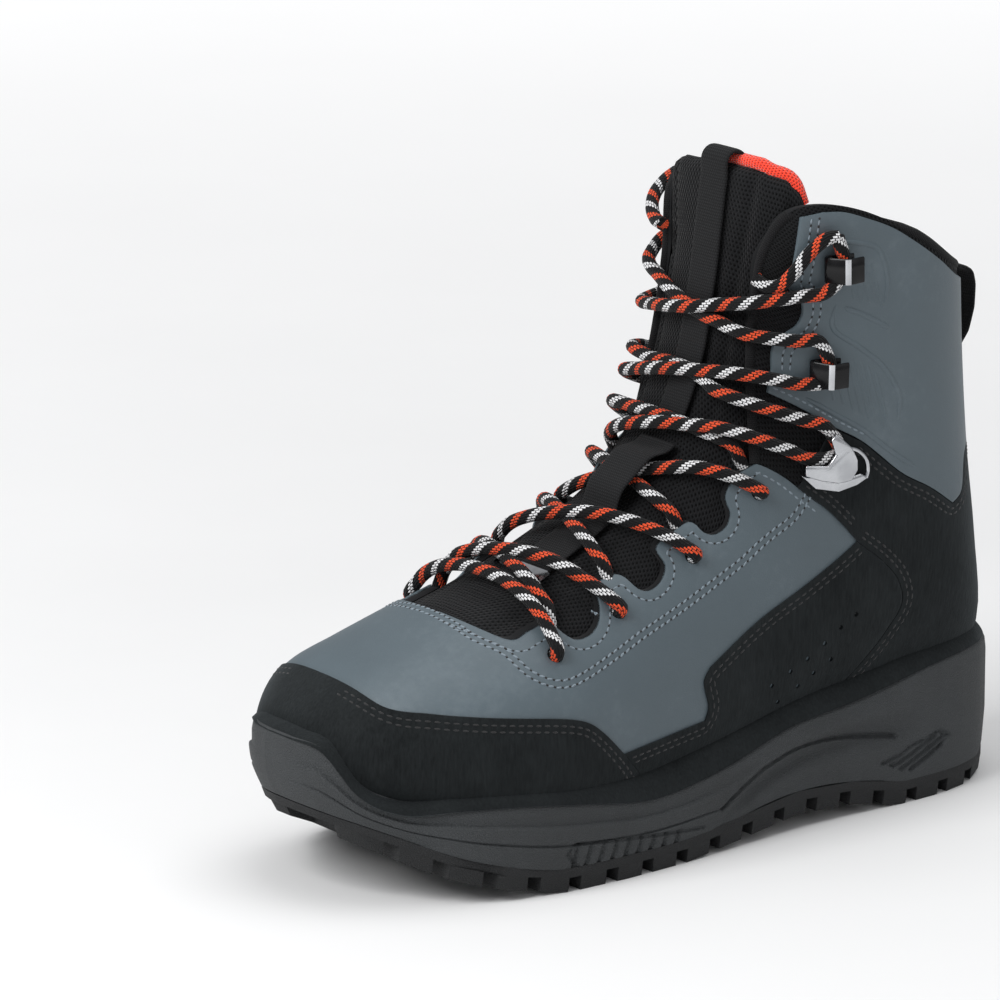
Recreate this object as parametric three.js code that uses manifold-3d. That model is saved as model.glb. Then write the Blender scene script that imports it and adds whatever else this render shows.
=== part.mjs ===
// A high wading boot for the left foot, standing empty on its sole.
// X runs from heel to toe, +Y is the outer side of the foot and Z is up. The origin lies on the floor under
// the middle of the heel. Millimetres.
import * as THREE from "three";
import { mergeVertices } from "three/addons/utils/BufferGeometryUtils.js";
import Module from "manifold-3d";

const wasm = await Module();
wasm.setup();

// Driving sizes of the last and the sole.
const LENGTH = 312; // sole, from the heel's back to the toe tip
const BALL_WIDTH = 113; // the unit of every width of the last and the sole
const FOOTBED = 34; // heel seat above the floor
const UPPER_HEIGHT = 200; // from the heel seat to the front of the collar
const HEEL_SEAT = 42; // from the heel's back to the origin
const FOREFOOT_SEAT = 190; // from the heel's back to the middle of the ball's contact
const BALL_CONTACT = 36; // half the length of the ball's flat contact
const HEEL_CONTACT = 23; // half the length of the heel's flat contact
const TOE_SPRING = 26; // tread's tip above the floor
const ARCH_LIFT = 6;
const HEEL_BEVEL = 11; // tread's rear edge above the floor
const ARCH_HOLLOW = 3.2; // depth of the hollow in the sole's side beside the arch
const PLAIN_LEVEL = 0.75; // above it the side's steps run all the way round
const LUG_HEIGHT = 5.5;
const LUG_GAP = 4; // between the lugs of one row
const LUG_SWEEP = 3; // how far a lug's ends lie back
const PLATE = 3.5; // tread plate over the lugs

// Sizes of the upper's pieces.
const WALL = 2.4;
const CLEAR = 0.3; // gap between curved pieces
const SEAM = 0.4; // gap between overlays side by side
const OVERLAY = 1.4;
const COVER = 9; // how far the overlays run down inside the sole's rim
const INSOLE = 4;
const LASTING_MARGIN = 14; // edge of the upper turned in under the foot
const TONGUE = 7;
const COLLAR_PAD = 5;
const COLLAR_PAD_DEPTH = 60; // how far the padding runs down from the rim
const PAD_SET = 1.5; // the padding's edge lies this far inside the rim and behind the tongue
const PAD_FRONT = 0.38; // share of LENGTH
const INSOLE_TOE = 0.01; // along the fan
const INSOLE_HEEL = 0.78;

// Sizes of the lace and its fittings.
const LACE = 5;
const HOLE = 7;
const HOOK_HEIGHT = 9;
const HOOK_REACH = 13;
const HOOK_SHEET = 1.3;
const HOOK_PLAY = 0.6; // past the lace's thickness
const HOOK_LIP = 2;
const LOCK_WIDTH = 22; // foot plate of the lock hook at the ankle
const LOCK_SHEET = 1.95;
const LOCK_PLAY = 1;
const LOCK_SET = 0.01; // the hook stands this far along the fan above its foot plate's middle
const LOCK_FOOT_SHARE = 0.6; // the foot plate's height to its width
const WEBBING = 1.6;
const WEBBING_ASIDE = 3; // the tongue's webbing lies this far to the outer side
const LOOP_WIDTH = 15; // pull loop of the tongue
const LOOP_RADIUS = 3.6;
const HEEL_LOOP_WIDTH = 22;
const HEEL_LOOP_STEPS = 10;
const HEEL_LOOP_REACH = 11;
const HEEL_LOOP_FOOT = 0.957; // along the fan
const HEEL_LOOP_HEAD = 0.993;
const KEEPER_WIDTH = 20;
const BAR_WIDTH = 28; // metal bar across the keeper
const BAR_THICK = 1.6;

const FAN_STEPS = 20;
const FAN_CROWD = 1.2; // over 1 brings the sections closer together at the toe
const ROUND_STEPS = 20;
const EDGE_STEPS = 36;
const EDGE_CROWD = 0.65; // how far the edge's points crowd to the toe and the heel, 0 for evenly
const LAST_TOP = 1.1; // the last runs on past the collar, which is cut out of it

// The last's sections fan from upright at the toe to level at the collar. Each runs from a low or back
// point to a high or front point. X is a share of LENGTH, rises are shares of UPPER_HEIGHT over the heel
// seat, half widths and shift are shares of BALL_WIDTH, and waist is where the section is widest. Squares say
// how boxy a quarter of the section is. The inner instep is the fuller one.
const LAST_COLUMNS = [
  "at", "backX", "backRise", "frontX", "frontRise", "outer", "inner", "waist", "lowSquare", "outerSquare",
  "innerSquare", "shift",
];
const LAST = [
  [0.00, 0.971, 0.050, 0.970, 0.105, 0.080, 0.080, 0.50, 2.2, 2.2, 2.2, -0.097],
  [0.03, 0.965, 0.035, 0.962, 0.143, 0.170, 0.168, 0.46, 2.4, 2.3, 2.3, -0.097],
  [0.07, 0.949, 0.020, 0.942, 0.180, 0.262, 0.254, 0.42, 2.6, 2.4, 2.4, -0.088],
  [0.12, 0.917, 0.000, 0.907, 0.223, 0.355, 0.345, 0.40, 2.9, 2.4, 2.4, -0.075],
  [0.18, 0.865, -0.023, 0.849, 0.260, 0.425, 0.400, 0.37, 3.2, 2.3, 2.3, -0.055],
  [0.25, 0.798, -0.043, 0.776, 0.298, 0.472, 0.445, 0.34, 3.5, 2.2, 2.3, -0.040],
  [0.33, 0.718, -0.060, 0.686, 0.342, 0.485, 0.455, 0.33, 3.5, 2.2, 2.5, -0.028],
  [0.41, 0.628, -0.065, 0.599, 0.405, 0.462, 0.420, 0.32, 3.3, 2.2, 2.7, -0.026],
  [0.49, 0.529, -0.060, 0.526, 0.478, 0.428, 0.380, 0.32, 3.0, 2.2, 2.7, -0.022],
  [0.57, 0.417, -0.043, 0.476, 0.563, 0.398, 0.374, 0.36, 2.8, 2.2, 2.8, -0.013],
  [0.65, 0.295, -0.020, 0.450, 0.650, 0.385, 0.380, 0.42, 2.6, 2.3, 2.8, -0.009],
  [0.72, 0.167, -0.003, 0.438, 0.722, 0.381, 0.388, 0.46, 2.5, 2.3, 2.8, 0.000],
  [0.78, 0.064, 0.015, 0.432, 0.778, 0.385, 0.394, 0.48, 2.4, 2.4, 2.8, 0.000],
  [0.82, 0.027, 0.090, 0.428, 0.815, 0.389, 0.396, 0.48, 2.3, 2.4, 2.8, 0.000],
  [0.87, 0.034, 0.255, 0.424, 0.860, 0.398, 0.400, 0.47, 2.2, 2.5, 2.7, 0.000],
  [0.92, 0.054, 0.455, 0.420, 0.910, 0.403, 0.403, 0.46, 2.2, 2.5, 2.6, 0.000],
  [0.96, 0.067, 0.645, 0.417, 0.965, 0.407, 0.407, 0.45, 2.2, 2.7, 2.7, 0.000],
  [1.00, 0.075, 0.830, 0.413, 1.025, 0.411, 0.411, 0.45, 2.2, 2.8, 2.8, 0.000],
  [1.10, 0.090, 1.090, 0.397, 1.150, 0.411, 0.411, 0.45, 2.2, 2.8, 2.8, 0.000],
];

// The sole's edge from the toe tip, at 0, to the heel's back, at 1. X is a share of LENGTH, the distances
// to the outer and inner side are shares of BALL_WIDTH, and the rim's rises are shares of UPPER_HEIGHT.
const SOLE_COLUMNS = ["at", "x", "outer", "inner", "rimOuter", "rimInner"];
const SOLE = [
  [0.00, 1.000, -0.088, 0.088, 0.126, 0.126],
  [0.03, 0.996, 0.018, 0.168, 0.124, 0.125],
  [0.07, 0.982, 0.150, 0.257, 0.112, 0.122],
  [0.11, 0.958, 0.252, 0.336, 0.042, 0.104],
  [0.16, 0.920, 0.341, 0.442, 0.009, 0.040],
  [0.22, 0.862, 0.420, 0.496, 0.009, 0.010],
  [0.29, 0.788, 0.478, 0.525, 0.006, 0.008],
  [0.37, 0.699, 0.501, 0.518, -0.010, -0.002],
  [0.46, 0.596, 0.487, 0.463, -0.030, -0.018],
  [0.55, 0.487, 0.451, 0.389, -0.008, 0.006],
  [0.64, 0.378, 0.407, 0.354, 0.034, 0.044],
  [0.73, 0.269, 0.388, 0.357, 0.056, 0.060],
  [0.81, 0.173, 0.377, 0.365, 0.086, 0.086],
  [0.88, 0.096, 0.341, 0.336, 0.103, 0.103],
  [0.93, 0.048, 0.270, 0.270, 0.112, 0.112],
  [0.97, 0.016, 0.164, 0.164, 0.116, 0.116],
  [1.00, 0.000, 0.000, 0.000, 0.118, 0.118],
];

// The sole's side from the tread plate, at 0, to the rim, at 1: a level and how far it is set in, in mm.
const SIDE = [
  [0.00, 1.0],
  [0.30, 0.0],
  [0.35, 1.2],
  [0.40, 0.1],
  [0.60, 0.3],
  [0.66, 1.5],
  [0.84, 1.6],
  [1.00, 3.0],
];

// Groups of slanted grooves in the sole's side: from and to are shares of the way round its edge, low and
// high are shares of the side's height, width and depth are in mm.
const GROOVES = [
  { from: 0.150, to: 0.215, count: 8, low: 0.14, high: 0.42, width: 1.6, depth: 1.0 },
  { from: 0.372, to: 0.402, count: 3, low: 0.42, high: 0.72, width: 1.8, depth: 1.2 },
];
const GROOVE_SLANT = 24;
const GROOVE_OUT = 4; // the cutting boxes stand this far out of the side

// Outlines in the side view. Each point is a share of LENGTH and a rise in shares of UPPER_HEIGHT.
const RIM = [
  [-0.050, 0.800], [0.100, 0.824], [0.136, 0.846], [0.172, 0.882], [0.216, 0.922], [0.256, 0.955],
  [0.300, 0.982], [0.341, 0.993], [0.366, 0.987], [0.379, 0.970], [0.387, 0.938], [0.394, 0.900],
  [0.397, 0.841], [0.401, 0.760], [0.405, 0.690], [0.408, 0.620], [0.411, 0.560], [0.413, 0.524],
];
const THROAT = [
  [0.432, 0.509], [0.447, 0.483], [0.452, 0.464], [0.450, 0.440], [0.457, 0.418], [0.473, 0.406],
  [0.486, 0.412], [0.495, 0.429], [0.518, 0.414], [0.543, 0.388], [0.540, 0.362], [0.552, 0.338],
  [0.571, 0.326], [0.583, 0.332], [0.595, 0.354], [0.612, 0.350], [0.627, 0.336], [0.634, 0.310],
  [0.644, 0.286], [0.661, 0.269], [0.680, 0.266], [0.690, 0.277], [0.697, 0.290], [0.722, 0.282],
  [0.747, 0.271], [0.773, 0.290], [0.786, 0.304],
];
const INNER_THROAT_SHIFT = 0.08; // the inner edge lies this share of the way nearer the throat's front
const THROAT_SLOPE = 0.55; // fall of the throat's edge, as rise share over length share
const RAND_TOP = [
  [0.925, 0.212], [0.912, 0.186], [0.871, 0.175], [0.812, 0.163], [0.712, 0.142], [0.688, 0.129],
  [0.668, 0.105], [0.637, 0.057],
];
const RAND_REAR = [[0.637, 0.057], [0.610, 0.010], [0.580, -0.050]];
const BAND_TOP = [
  [0.637, 0.057], [0.510, 0.079], [0.505, 0.101], [0.512, 0.154], [0.502, 0.177], [0.427, 0.244],
  [0.360, 0.291], [0.310, 0.333], [0.284, 0.358],
];
const BAND_REAR = [
  [0.284, 0.358], [0.244, 0.311], [0.220, 0.270], [0.211, 0.225], [0.232, 0.170], [0.314, 0.022],
  [0.340, -0.060],
];
const COUNTER_FRONT = [[0.319, 0.577], [0.350, 0.500], [0.366, 0.474], [0.327, 0.427], [0.301, 0.388]];
const PANEL_LOW = [
  [0.393, 0.649], [0.361, 0.621], [0.319, 0.580], [0.281, 0.547], [0.221, 0.474], [0.178, 0.438],
  [0.136, 0.396], [0.117, 0.411], [0.103, 0.480], [0.060, 0.500], [-0.050, 0.500],
];
const PANEL_FRONT = [
  [0.387, 0.688], [0.384, 0.732], [0.374, 0.756], [0.362, 0.774], [0.357, 0.797], [0.360, 0.823],
  [0.370, 0.838], [0.368, 0.893], [0.364, 0.972],
];
const PANEL_TOP = [
  [0.340, 0.980], [0.316, 0.978], [0.288, 0.964], [0.250, 0.940], [0.212, 0.905], [0.172, 0.865],
  [0.134, 0.826], [0.100, 0.804], [-0.050, 0.780],
];
const TONGUE_TOP = [[0.346, 1.020], [0.370, 1.048], [0.395, 1.066]];
// The tongue's top edge seen from the front: shares of BALL_WIDTH and rises.
const TONGUE_CREST = [
  [-0.50, 0.960], [-0.38, 0.985], [-0.30, 1.005], [-0.20, 1.028], [-0.05, 1.043], [0.10, 1.052],
  [0.30, 1.060], [0.50, 1.055],
];
const TONGUE_SIDE = [
  [0.830, 0.200], [0.760, 0.205], [0.690, 0.215], [0.610, 0.258], [0.530, 0.310], [0.470, 0.365],
  [0.415, 0.440], [0.390, 0.500], [0.372, 0.600], [0.362, 0.720], [0.352, 0.880], [0.346, 1.020],
];

// The lace's holes and hooks: where along the fan, and how many degrees round from the sole or heel.
// The slip is how far along the fan the inner side's fellow is moved, and the exit is how far from a hole
// the next strand comes out below the edge.
const HOLES = [
  { at: 0.315, turn: 130, slip: -0.006, exit: 0.014 },
  { at: 0.400, turn: 132, slip: -0.016, exit: 0.006 },
  { at: 0.515, turn: 129, slip: -0.034, exit: -0.006 },
  { at: 0.645, turn: 121, slip: -0.052, exit: -0.004 },
];
const LOCK = { at: 0.772, turn: 107, slip: -0.030 };
const HOOKS = [
  { at: 0.853, turn: 118, slip: -0.010 },
  { at: 0.961, turn: 113, slip: 0.012 },
];

// Where the lace leaves the lock and each hook, below and above it.
const LOCK_LOW = { at: 0.732, turn: 115, slip: -0.040 };
const LOCK_HIGH = { at: 0.785, turn: 116, slip: -0.025 };
const HOOK_LOW = [{ at: 0.803, turn: 127, slip: -0.022 }, { at: 0.935, turn: 120, slip: 0.014 }];
const HOOK_HIGH = [{ at: 0.880, turn: 122, slip: 0.004 }, { at: 0.984, turn: 115, slip: 0.008 }];

// The lace's ends, from the top hooks to where they are tucked in on the tongue.
const END_OUTER = [
  [0.984, 115], [0.980, 119], [0.962, 126], [0.938, 132], [0.914, 138], [0.903, 143], [0.905, 148],
];
const END_INNER = [[1.002, 246], [0.992, 238], [0.976, 226], [0.958, 214], [0.942, 204], [0.934, 196]];

// Smooth curves through a table's rows, one for each named column.
function curves(columns, rows) {
  const at = rows.map((row) => row[0]);
  const found = {};
  columns.forEach((name, column) => {
    const values = rows.map((row) => row[column]);
    const slopes = values.map((value, i) => {
      const a = Math.max(i - 1, 0);
      const b = Math.min(i + 1, values.length - 1);
      const before = (values[i] - values[a]) / (at[i] - at[a] || 1);
      const after = (values[b] - values[i]) / (at[b] - at[i] || 1);
      if (a === i) return after;
      if (b === i) return before;
      return (before * (at[b] - at[i]) + after * (at[i] - at[a])) / (at[b] - at[a]);
    });
    found[name] = (where) => {
      const t = Math.min(Math.max(where, at[0]), at[at.length - 1]);
      let i = 0;
      while (i < at.length - 2 && at[i + 1] < t) i += 1;
      const step = at[i + 1] - at[i];
      const s = (t - at[i]) / step;
      return (2 * s ** 3 - 3 * s ** 2 + 1) * values[i] + (s ** 3 - 2 * s ** 2 + s) * step * slopes[i] +
        (3 * s ** 2 - 2 * s ** 3) * values[i + 1] + (s ** 3 - s ** 2) * step * slopes[i + 1];
    };
  });
  return found;
}

const last = curves(LAST_COLUMNS, LAST);
const sole = curves(SOLE_COLUMNS, SOLE);
const rise = (share) => FOOTBED + share * UPPER_HEIGHT;
const radians = THREE.MathUtils.degToRad;

// A point of the last's bare surface. Turn is 0 at the sole or heel and half a turn at the ridge, + on the
// outer side.
function bareLast(at, turn) {
  const round = Math.atan2(Math.sin(turn), Math.cos(turn));
  const low = Math.abs(round) < Math.PI / 2;
  const high = round >= 0 ? last.outerSquare(at) : last.innerSquare(at);
  const square = 2 / (low ? last.lowSquare(at) : high);
  const waist = last.waist(at);
  const along = -Math.cos(round);
  const bow = Math.sign(along) * Math.abs(along) ** square;
  const share = waist + bow * (low ? waist : 1 - waist);
  const half = (round >= 0 ? last.outer(at) : last.inner(at)) * BALL_WIDTH;
  const side = Math.sign(round) * half * Math.abs(Math.sin(round)) ** square;
  return new THREE.Vector3(
    (last.backX(at) + (last.frontX(at) - last.backX(at)) * share) * LENGTH,
    side + last.shift(at) * BALL_WIDTH,
    rise(last.backRise(at) + (last.frontRise(at) - last.backRise(at)) * share),
  );
}

// The frame at a point of the last: its place, outward normal, and the way along the fan.
function lastFrame(at, turn) {
  const step = 0.001;
  const along = bareLast(at + step, turn).sub(bareLast(at - step, turn));
  const round = bareLast(at, turn + step).sub(bareLast(at, turn - step));
  const normal = along.clone().cross(round).normalize();
  return { place: bareLast(at, turn), normal, along: along.normalize() };
}

// A point standing off the last by a distance, inwards if it is negative.
function onLast(at, turn, off) {
  const frame = lastFrame(at, turn);
  return frame.place.addScaledVector(frame.normal, off);
}

// A closed solid from points and triangles, turned so that its faces look out.
function closed(points, triangles) {
  let volume = 0;
  for (const [a, b, c] of triangles) {
    volume += points[a].dot(points[b].clone().cross(points[c]));
  }
  const facing = volume < 0 ? triangles.map(([a, b, c]) => [a, c, b]) : triangles;
  return new wasm.Manifold(new wasm.Mesh({
    numProp: 3,
    vertProperties: new Float32Array(points.flatMap((p) => [p.x, p.y, p.z])),
    triVerts: new Uint32Array(facing.flat()),
  }));
}

// The walls between loops of as many points each.
function walls(loops) {
  const count = loops[0].length;
  const triangles = [];
  for (let row = 0; row < loops.length - 1; row += 1) {
    for (let i = 0; i < count; i += 1) {
      const a = row * count + i;
      const b = row * count + (i + 1) % count;
      triangles.push([a, b, a + count], [b, b + count, a + count]);
    }
  }
  return triangles;
}

// Loops joined into a tube, with each end closed onto its middle.
function loft(loops) {
  const count = loops[0].length;
  const points = loops.flat();
  const triangles = walls(loops);
  for (const [row, turned] of [[0, true], [loops.length - 1, false]]) {
    const middle = points.length;
    points.push(loops[row].reduce((sum, p) => sum.add(p), new THREE.Vector3()).divideScalar(count));
    for (let i = 0; i < count; i += 1) {
      const a = row * count + i;
      const b = row * count + (i + 1) % count;
      triangles.push(turned ? [b, a, middle] : [a, b, middle]);
    }
  }
  return closed(points, triangles);
}

// Loops of a sole joined upwards. The ends are closed straight across, from the outer to the inner side.
function soleLoft(loops) {
  const count = loops[0].length;
  const triangles = walls(loops);
  for (const [row, turned] of [[0, true], [loops.length - 1, false]]) {
    const start = row * count;
    for (let i = 0; i < count / 2; i += 1) {
      const a = start + i;
      const b = start + i + 1;
      const c = start + (count - i) % count;
      const d = start + count - i - 1;
      if (a !== c) triangles.push(turned ? [b, a, c] : [a, b, c]);
      if (b !== d) triangles.push(turned ? [b, c, d] : [c, b, d]);
    }
  }
  return closed(loops.flat(), triangles);
}

// A three.js geometry as a solid.
function fromGeometry(geometry) {
  geometry.deleteAttribute("normal");
  geometry.deleteAttribute("uv");
  const merged = mergeVertices(geometry, 1e-4);
  const position = merged.getAttribute("position");
  const points = [];
  for (let i = 0; i < position.count; i += 1) {
    points.push(new THREE.Vector3().fromBufferAttribute(position, i));
  }
  const triangles = [];
  for (let i = 0; i < merged.index.count; i += 3) {
    triangles.push([merged.index.getX(i), merged.index.getX(i + 1), merged.index.getX(i + 2)]);
  }
  return closed(points, triangles.filter(([a, b, c]) => a !== b && b !== c && a !== c));
}

function outline(points) {
  return new THREE.Shape(points.map(([x, y]) => new THREE.Vector2(x, y)));
}

// A side view outline in millimetres, drawn straight through the boot between two widths.
function sidePrism(points, from, to) {
  const geometry = new THREE.ExtrudeGeometry(outline(points), { depth: to - from, bevelEnabled: false });
  geometry.rotateX(Math.PI / 2);
  geometry.translate(0, to, 0);
  return fromGeometry(geometry);
}

// A front view outline in millimetres, drawn along the boot's whole length.
function frontPrism(points) {
  const geometry = new THREE.ExtrudeGeometry(outline(points), { depth: LENGTH, bevelEnabled: false });
  const [x, y, z] = [new THREE.Vector3(1, 0, 0), new THREE.Vector3(0, 1, 0), new THREE.Vector3(0, 0, 1)];
  geometry.applyMatrix4(new THREE.Matrix4().makeBasis(y, z, x));
  return fromGeometry(geometry);
}

// A plan view outline in millimetres, drawn straight up between two heights.
function planPrism(points, from, to) {
  const geometry = new THREE.ExtrudeGeometry(outline(points), { depth: to - from, bevelEnabled: false });
  geometry.translate(0, 0, from);
  return fromGeometry(geometry);
}

const THROUGH = BALL_WIDTH; // more than half the boot's width
const THROAT_FRONT = 0.8;
const BEHIND = -0.05; // shares of LENGTH and UPPER_HEIGHT that lie clear of the boot
const AHEAD = 1.1;
const HIGH = 1.6;
const DEEP = -0.5;
const sidePoints = (shares, dx = 0, dz = 0) => shares.map(([x, z]) => [x * LENGTH + dx, rise(z) + dz]);
const through = (points) => sidePrism(points, -THROUGH, THROUGH);

// The last grown by a distance, as a closed solid.
const grown = new Map();
function lastSolid(off) {
  if (!grown.has(off)) {
    const loops = [];
    for (let i = 0; i <= FAN_STEPS; i += 1) {
      const loop = [];
      const at = (i / FAN_STEPS) ** FAN_CROWD * LAST_TOP;
      for (let j = 0; j < ROUND_STEPS; j += 1) {
        loop.push(onLast(at, radians(-180 + 360 * j / ROUND_STEPS), off));
      }
      loops.push(loop);
    }
    grown.set(off, loft(loops));
  }
  return grown.get(off);
}
const layer = (inner, outer) => lastSolid(outer).subtract(lastSolid(inner));

// How far the tread's underside stands off the floor at a distance from the heel's back.
function lift(x) {
  const ballFront = FOREFOOT_SEAT + BALL_CONTACT;
  const ballRear = FOREFOOT_SEAT - BALL_CONTACT;
  const heelFront = HEEL_SEAT + HEEL_CONTACT;
  const heelRear = HEEL_SEAT - HEEL_CONTACT;
  if (x > ballFront) {
    return TOE_SPRING * (Math.min(x - ballFront, LENGTH - ballFront) / (LENGTH - ballFront)) ** 1.45;
  }
  if (x > heelFront && x < ballRear) {
    return ARCH_LIFT * Math.sin(Math.PI * (x - heelFront) / (ballRear - heelFront)) ** 0.8;
  }
  if (x < heelRear) return HEEL_BEVEL * (1 - Math.max(x, 0) / heelRear) ** 1.7;
  return 0;
}

// The sole's edge, once round from the toe along the outer side and back along the inner side.
function edge(round) {
  const outer = round <= 0.5;
  const at = outer ? 2 * round : 2 - 2 * round;
  const side = (outer ? sole.outer(at) : -sole.inner(at)) * BALL_WIDTH;
  const rim = rise(outer ? sole.rimOuter(at) : sole.rimInner(at));
  return { x: sole.x(at) * LENGTH, y: side, rim };
}

// The edge point set in by a distance square to the edge.
function insetEdge(round, inset) {
  const step = 0.004;
  const before = edge((round - step + 1) % 1);
  const after = edge((round + step) % 1);
  const here = edge(round);
  const length = Math.hypot(after.x - before.x, after.y - before.y);
  return {
    x: here.x + (after.y - before.y) / length * -inset,
    y: here.y - (after.x - before.x) / length * -inset,
    rim: here.rim,
  };
}

// A loop round the sole at a height that each edge point works out.
function soleLoop(inset, height) {
  const loop = [];
  for (let i = 0; i < EDGE_STEPS; i += 1) {
    const even = i / EDGE_STEPS;
    const crowded = (even < 0.5 ? 1 - Math.cos(2 * Math.PI * even) : 3 + Math.cos(2 * Math.PI * even)) / 4;
    const round = even + (crowded - even) * EDGE_CROWD;
    const point = insetEdge(round, inset(round));
    loop.push(new THREE.Vector3(point.x, point.y, height(point)));
  }
  return loop;
}

// The tread: a plate with lugs under it, in rows from heel to toe with an open arch.
function buildOutsole() {
  const inset = () => 0.8;
  const slab = soleLoft([
    soleLoop(() => 1.6, (p) => lift(p.x)),
    soleLoop(inset, (p) => lift(p.x) + LUG_HEIGHT + 0.5),
  ]);
  const plate = soleLoft([
    soleLoop(inset, (p) => lift(p.x) + LUG_HEIGHT),
    soleLoop(inset, (p) => lift(p.x) + LUG_HEIGHT + PLATE),
  ]);
  const pitch = 0.053 * LENGTH;
  const block = 0.036 * LENGTH;
  const wing = 0.16 * BALL_WIDTH;
  const top = FOOTBED + UPPER_HEIGHT;
  const lugs = [];
  const rows = Math.floor(LENGTH / pitch);
  const phase = HEEL_SEAT % pitch;
  for (let row = 0; row <= rows; row += 1) {
    const x = phase + (row - 0.5) * pitch;
    for (const side of [1, -1]) {
      const reach = widthAt(x, side);
      const inner = Math.max(reach - wing, 0.14 * BALL_WIDTH);
      lugs.push(planPrism([
        [x - block / 2, side * inner], [x + block / 2, side * inner],
        [x + block / 2 - LUG_SWEEP, side * THROUGH], [x - block / 2 - LUG_SWEEP, side * THROUGH],
      ], -top, top));
    }
    const middle = x + pitch / 2;
    const outer = widthAt(middle, 1) - wing - LUG_GAP;
    const inside = widthAt(middle, -1) - wing - LUG_GAP;
    if (Math.min(outer, inside) < LUG_GAP) continue;
    lugs.push(planPrism([
      [middle - block / 2 - LUG_SWEEP, -inside], [middle + block / 2 - LUG_SWEEP, -inside],
      [middle + block / 2, 0], [middle + block / 2 - LUG_SWEEP, outer],
      [middle - block / 2 - LUG_SWEEP, outer], [middle - block / 2, 0],
    ], -top, top));
  }
  return wasm.Manifold.union([plate, slab.intersect(wasm.Manifold.union(lugs))]);
}

// The sole's half width on one side at a distance from the heel's back.
function widthAt(x, side) {
  let nearest = { gap: Infinity, y: 0 };
  for (let i = 0; i <= 100; i += 1) {
    const point = edge(side > 0 ? i / 200 : 1 - (i + 1) / 202);
    const gap = Math.abs(point.x - x);
    if (gap < nearest.gap) nearest = { gap, y: Math.abs(point.y) };
  }
  return nearest.y;
}

// A side view line along the sole's rim, lowered by a distance, and closed far above or far below.
function rimLine(drop) {
  const points = [];
  for (let i = 0; i <= 24; i += 1) {
    const point = edge(0.5 - i / 48);
    points.push([point.x, point.rim - drop]);
  }
  points[0][0] = BEHIND * LENGTH;
  points[points.length - 1][0] = AHEAD * LENGTH;
  return points;
}
function aboveRim(drop) {
  return through([...rimLine(drop), ...sidePoints([[AHEAD, HIGH], [BEHIND, HIGH]])]);
}

// A group of slanted cuts that follow the edge between two places.
function slantedCuts({ from, to, count, low, high, width, depth }) {
  const cuts = [];
  for (let i = 0; i < count; i += 1) {
    const round = from + (to - from) * (i + 0.5) / count;
    const here = edge(round);
    const inside = insetEdge(round, depth);
    const outside = insetEdge(round, -GROOVE_OUT);
    const height = here.rim - lift(here.x) - LUG_HEIGHT - PLATE;
    const bottom = here.rim - height * (1 - low);
    const span = height * (high - low);
    const [dx, dy] = [outside.x - inside.x, outside.y - inside.y];
    const geometry = new THREE.BoxGeometry(width, Math.hypot(dx, dy), span);
    geometry.rotateY(radians(-GROOVE_SLANT));
    geometry.rotateZ(Math.atan2(dy, dx) - Math.PI / 2);
    geometry.translate((inside.x + outside.x) / 2, (inside.y + outside.y) / 2, bottom + span / 2);
    cuts.push(fromGeometry(geometry));
  }
  return wasm.Manifold.union(cuts);
}

// The cup sole: its wall is stepped and hollowed at the arch, and the upper's form is cut out of it.
function buildMidsole() {
  const bottom = (p) => lift(p.x) + LUG_HEIGHT + PLATE + CLEAR;
  const along = (round) => 1 - Math.abs(1 - 2 * round);
  const { smoothstep } = THREE.MathUtils;
  const forefoot = (at) => smoothstep(at, 0.02, 0.1) * (1 - smoothstep(at, 0.45, 0.62));
  const stepped = (round, level) => (level > PLAIN_LEVEL ? 1 : forefoot(along(round)));
  const hollow = (round, level) => ARCH_HOLLOW *
    Math.exp(-(((along(round) - 0.66) / 0.09) ** 2) - ((level - 0.55) / 0.26) ** 2);
  const loops = SIDE.map(([level, inset]) => {
    const plain = Math.min(inset, 0.4);
    return soleLoop(
      (round) => plain + (inset - plain) * stepped(round, level) + hollow(round, level),
      (p) => bottom(p) + level * (p.rim - bottom(p)),
    );
  });
  const seat = OVERLAY + 2 * CLEAR;
  return soleLoft(loops)
    .subtract(lastSolid(CLEAR))
    .subtract(lastSolid(seat).intersect(aboveRim(COVER)))
    .subtract(wasm.Manifold.union(GROOVES.map(slantedCuts)));
}

// Everything above the rim and between the throat's edges, in the side view.
function opening() {
  const inner = THROAT.map(([x, z]) => {
    const shift = INNER_THROAT_SHIFT * (THROAT_FRONT - x);
    return [x + shift, z - THROAT_SLOPE * shift];
  });
  const above = sidePoints([[THROAT_FRONT, 0.36], [THROAT_FRONT, HIGH], [BEHIND, HIGH]]);
  return sidePrism([...sidePoints(RIM), ...sidePoints(THROAT), ...above], 0, THROUGH)
    .add(sidePrism([...sidePoints(RIM), ...sidePoints(inner), ...above], -THROUGH, 0));
}

// The opening underneath, inside the margin that is turned in below the foot.
function footOpening() {
  const outer = [];
  const inner = [];
  const steps = 10;
  for (let i = 0; i <= steps; i += 1) {
    const at = FOOT_TOE + (FOOT_HEEL - FOOT_TOE) * i / steps;
    const middle = last.shift(at) * BALL_WIDTH;
    const x = last.backX(at) * LENGTH - LASTING_MARGIN * Math.max(0, 1 - at / FOOT_MIDDLE);
    const reach = (half) => Math.max(half * BALL_WIDTH - LASTING_MARGIN, LUG_GAP);
    outer.push([x, middle + reach(last.outer(at))]);
    inner.push([x, middle - reach(last.inner(at))]);
  }
  return planPrism([...outer, ...inner.reverse()], 0, rise(FOOT_CUT));
}
const FOOT_TOE = 0.05; // along the fan
const FOOT_MIDDLE = 0.3;
const FOOT_HEEL = 0.75;
const FOOT_CUT = 0.06; // the cut's top, as a rise

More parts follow.
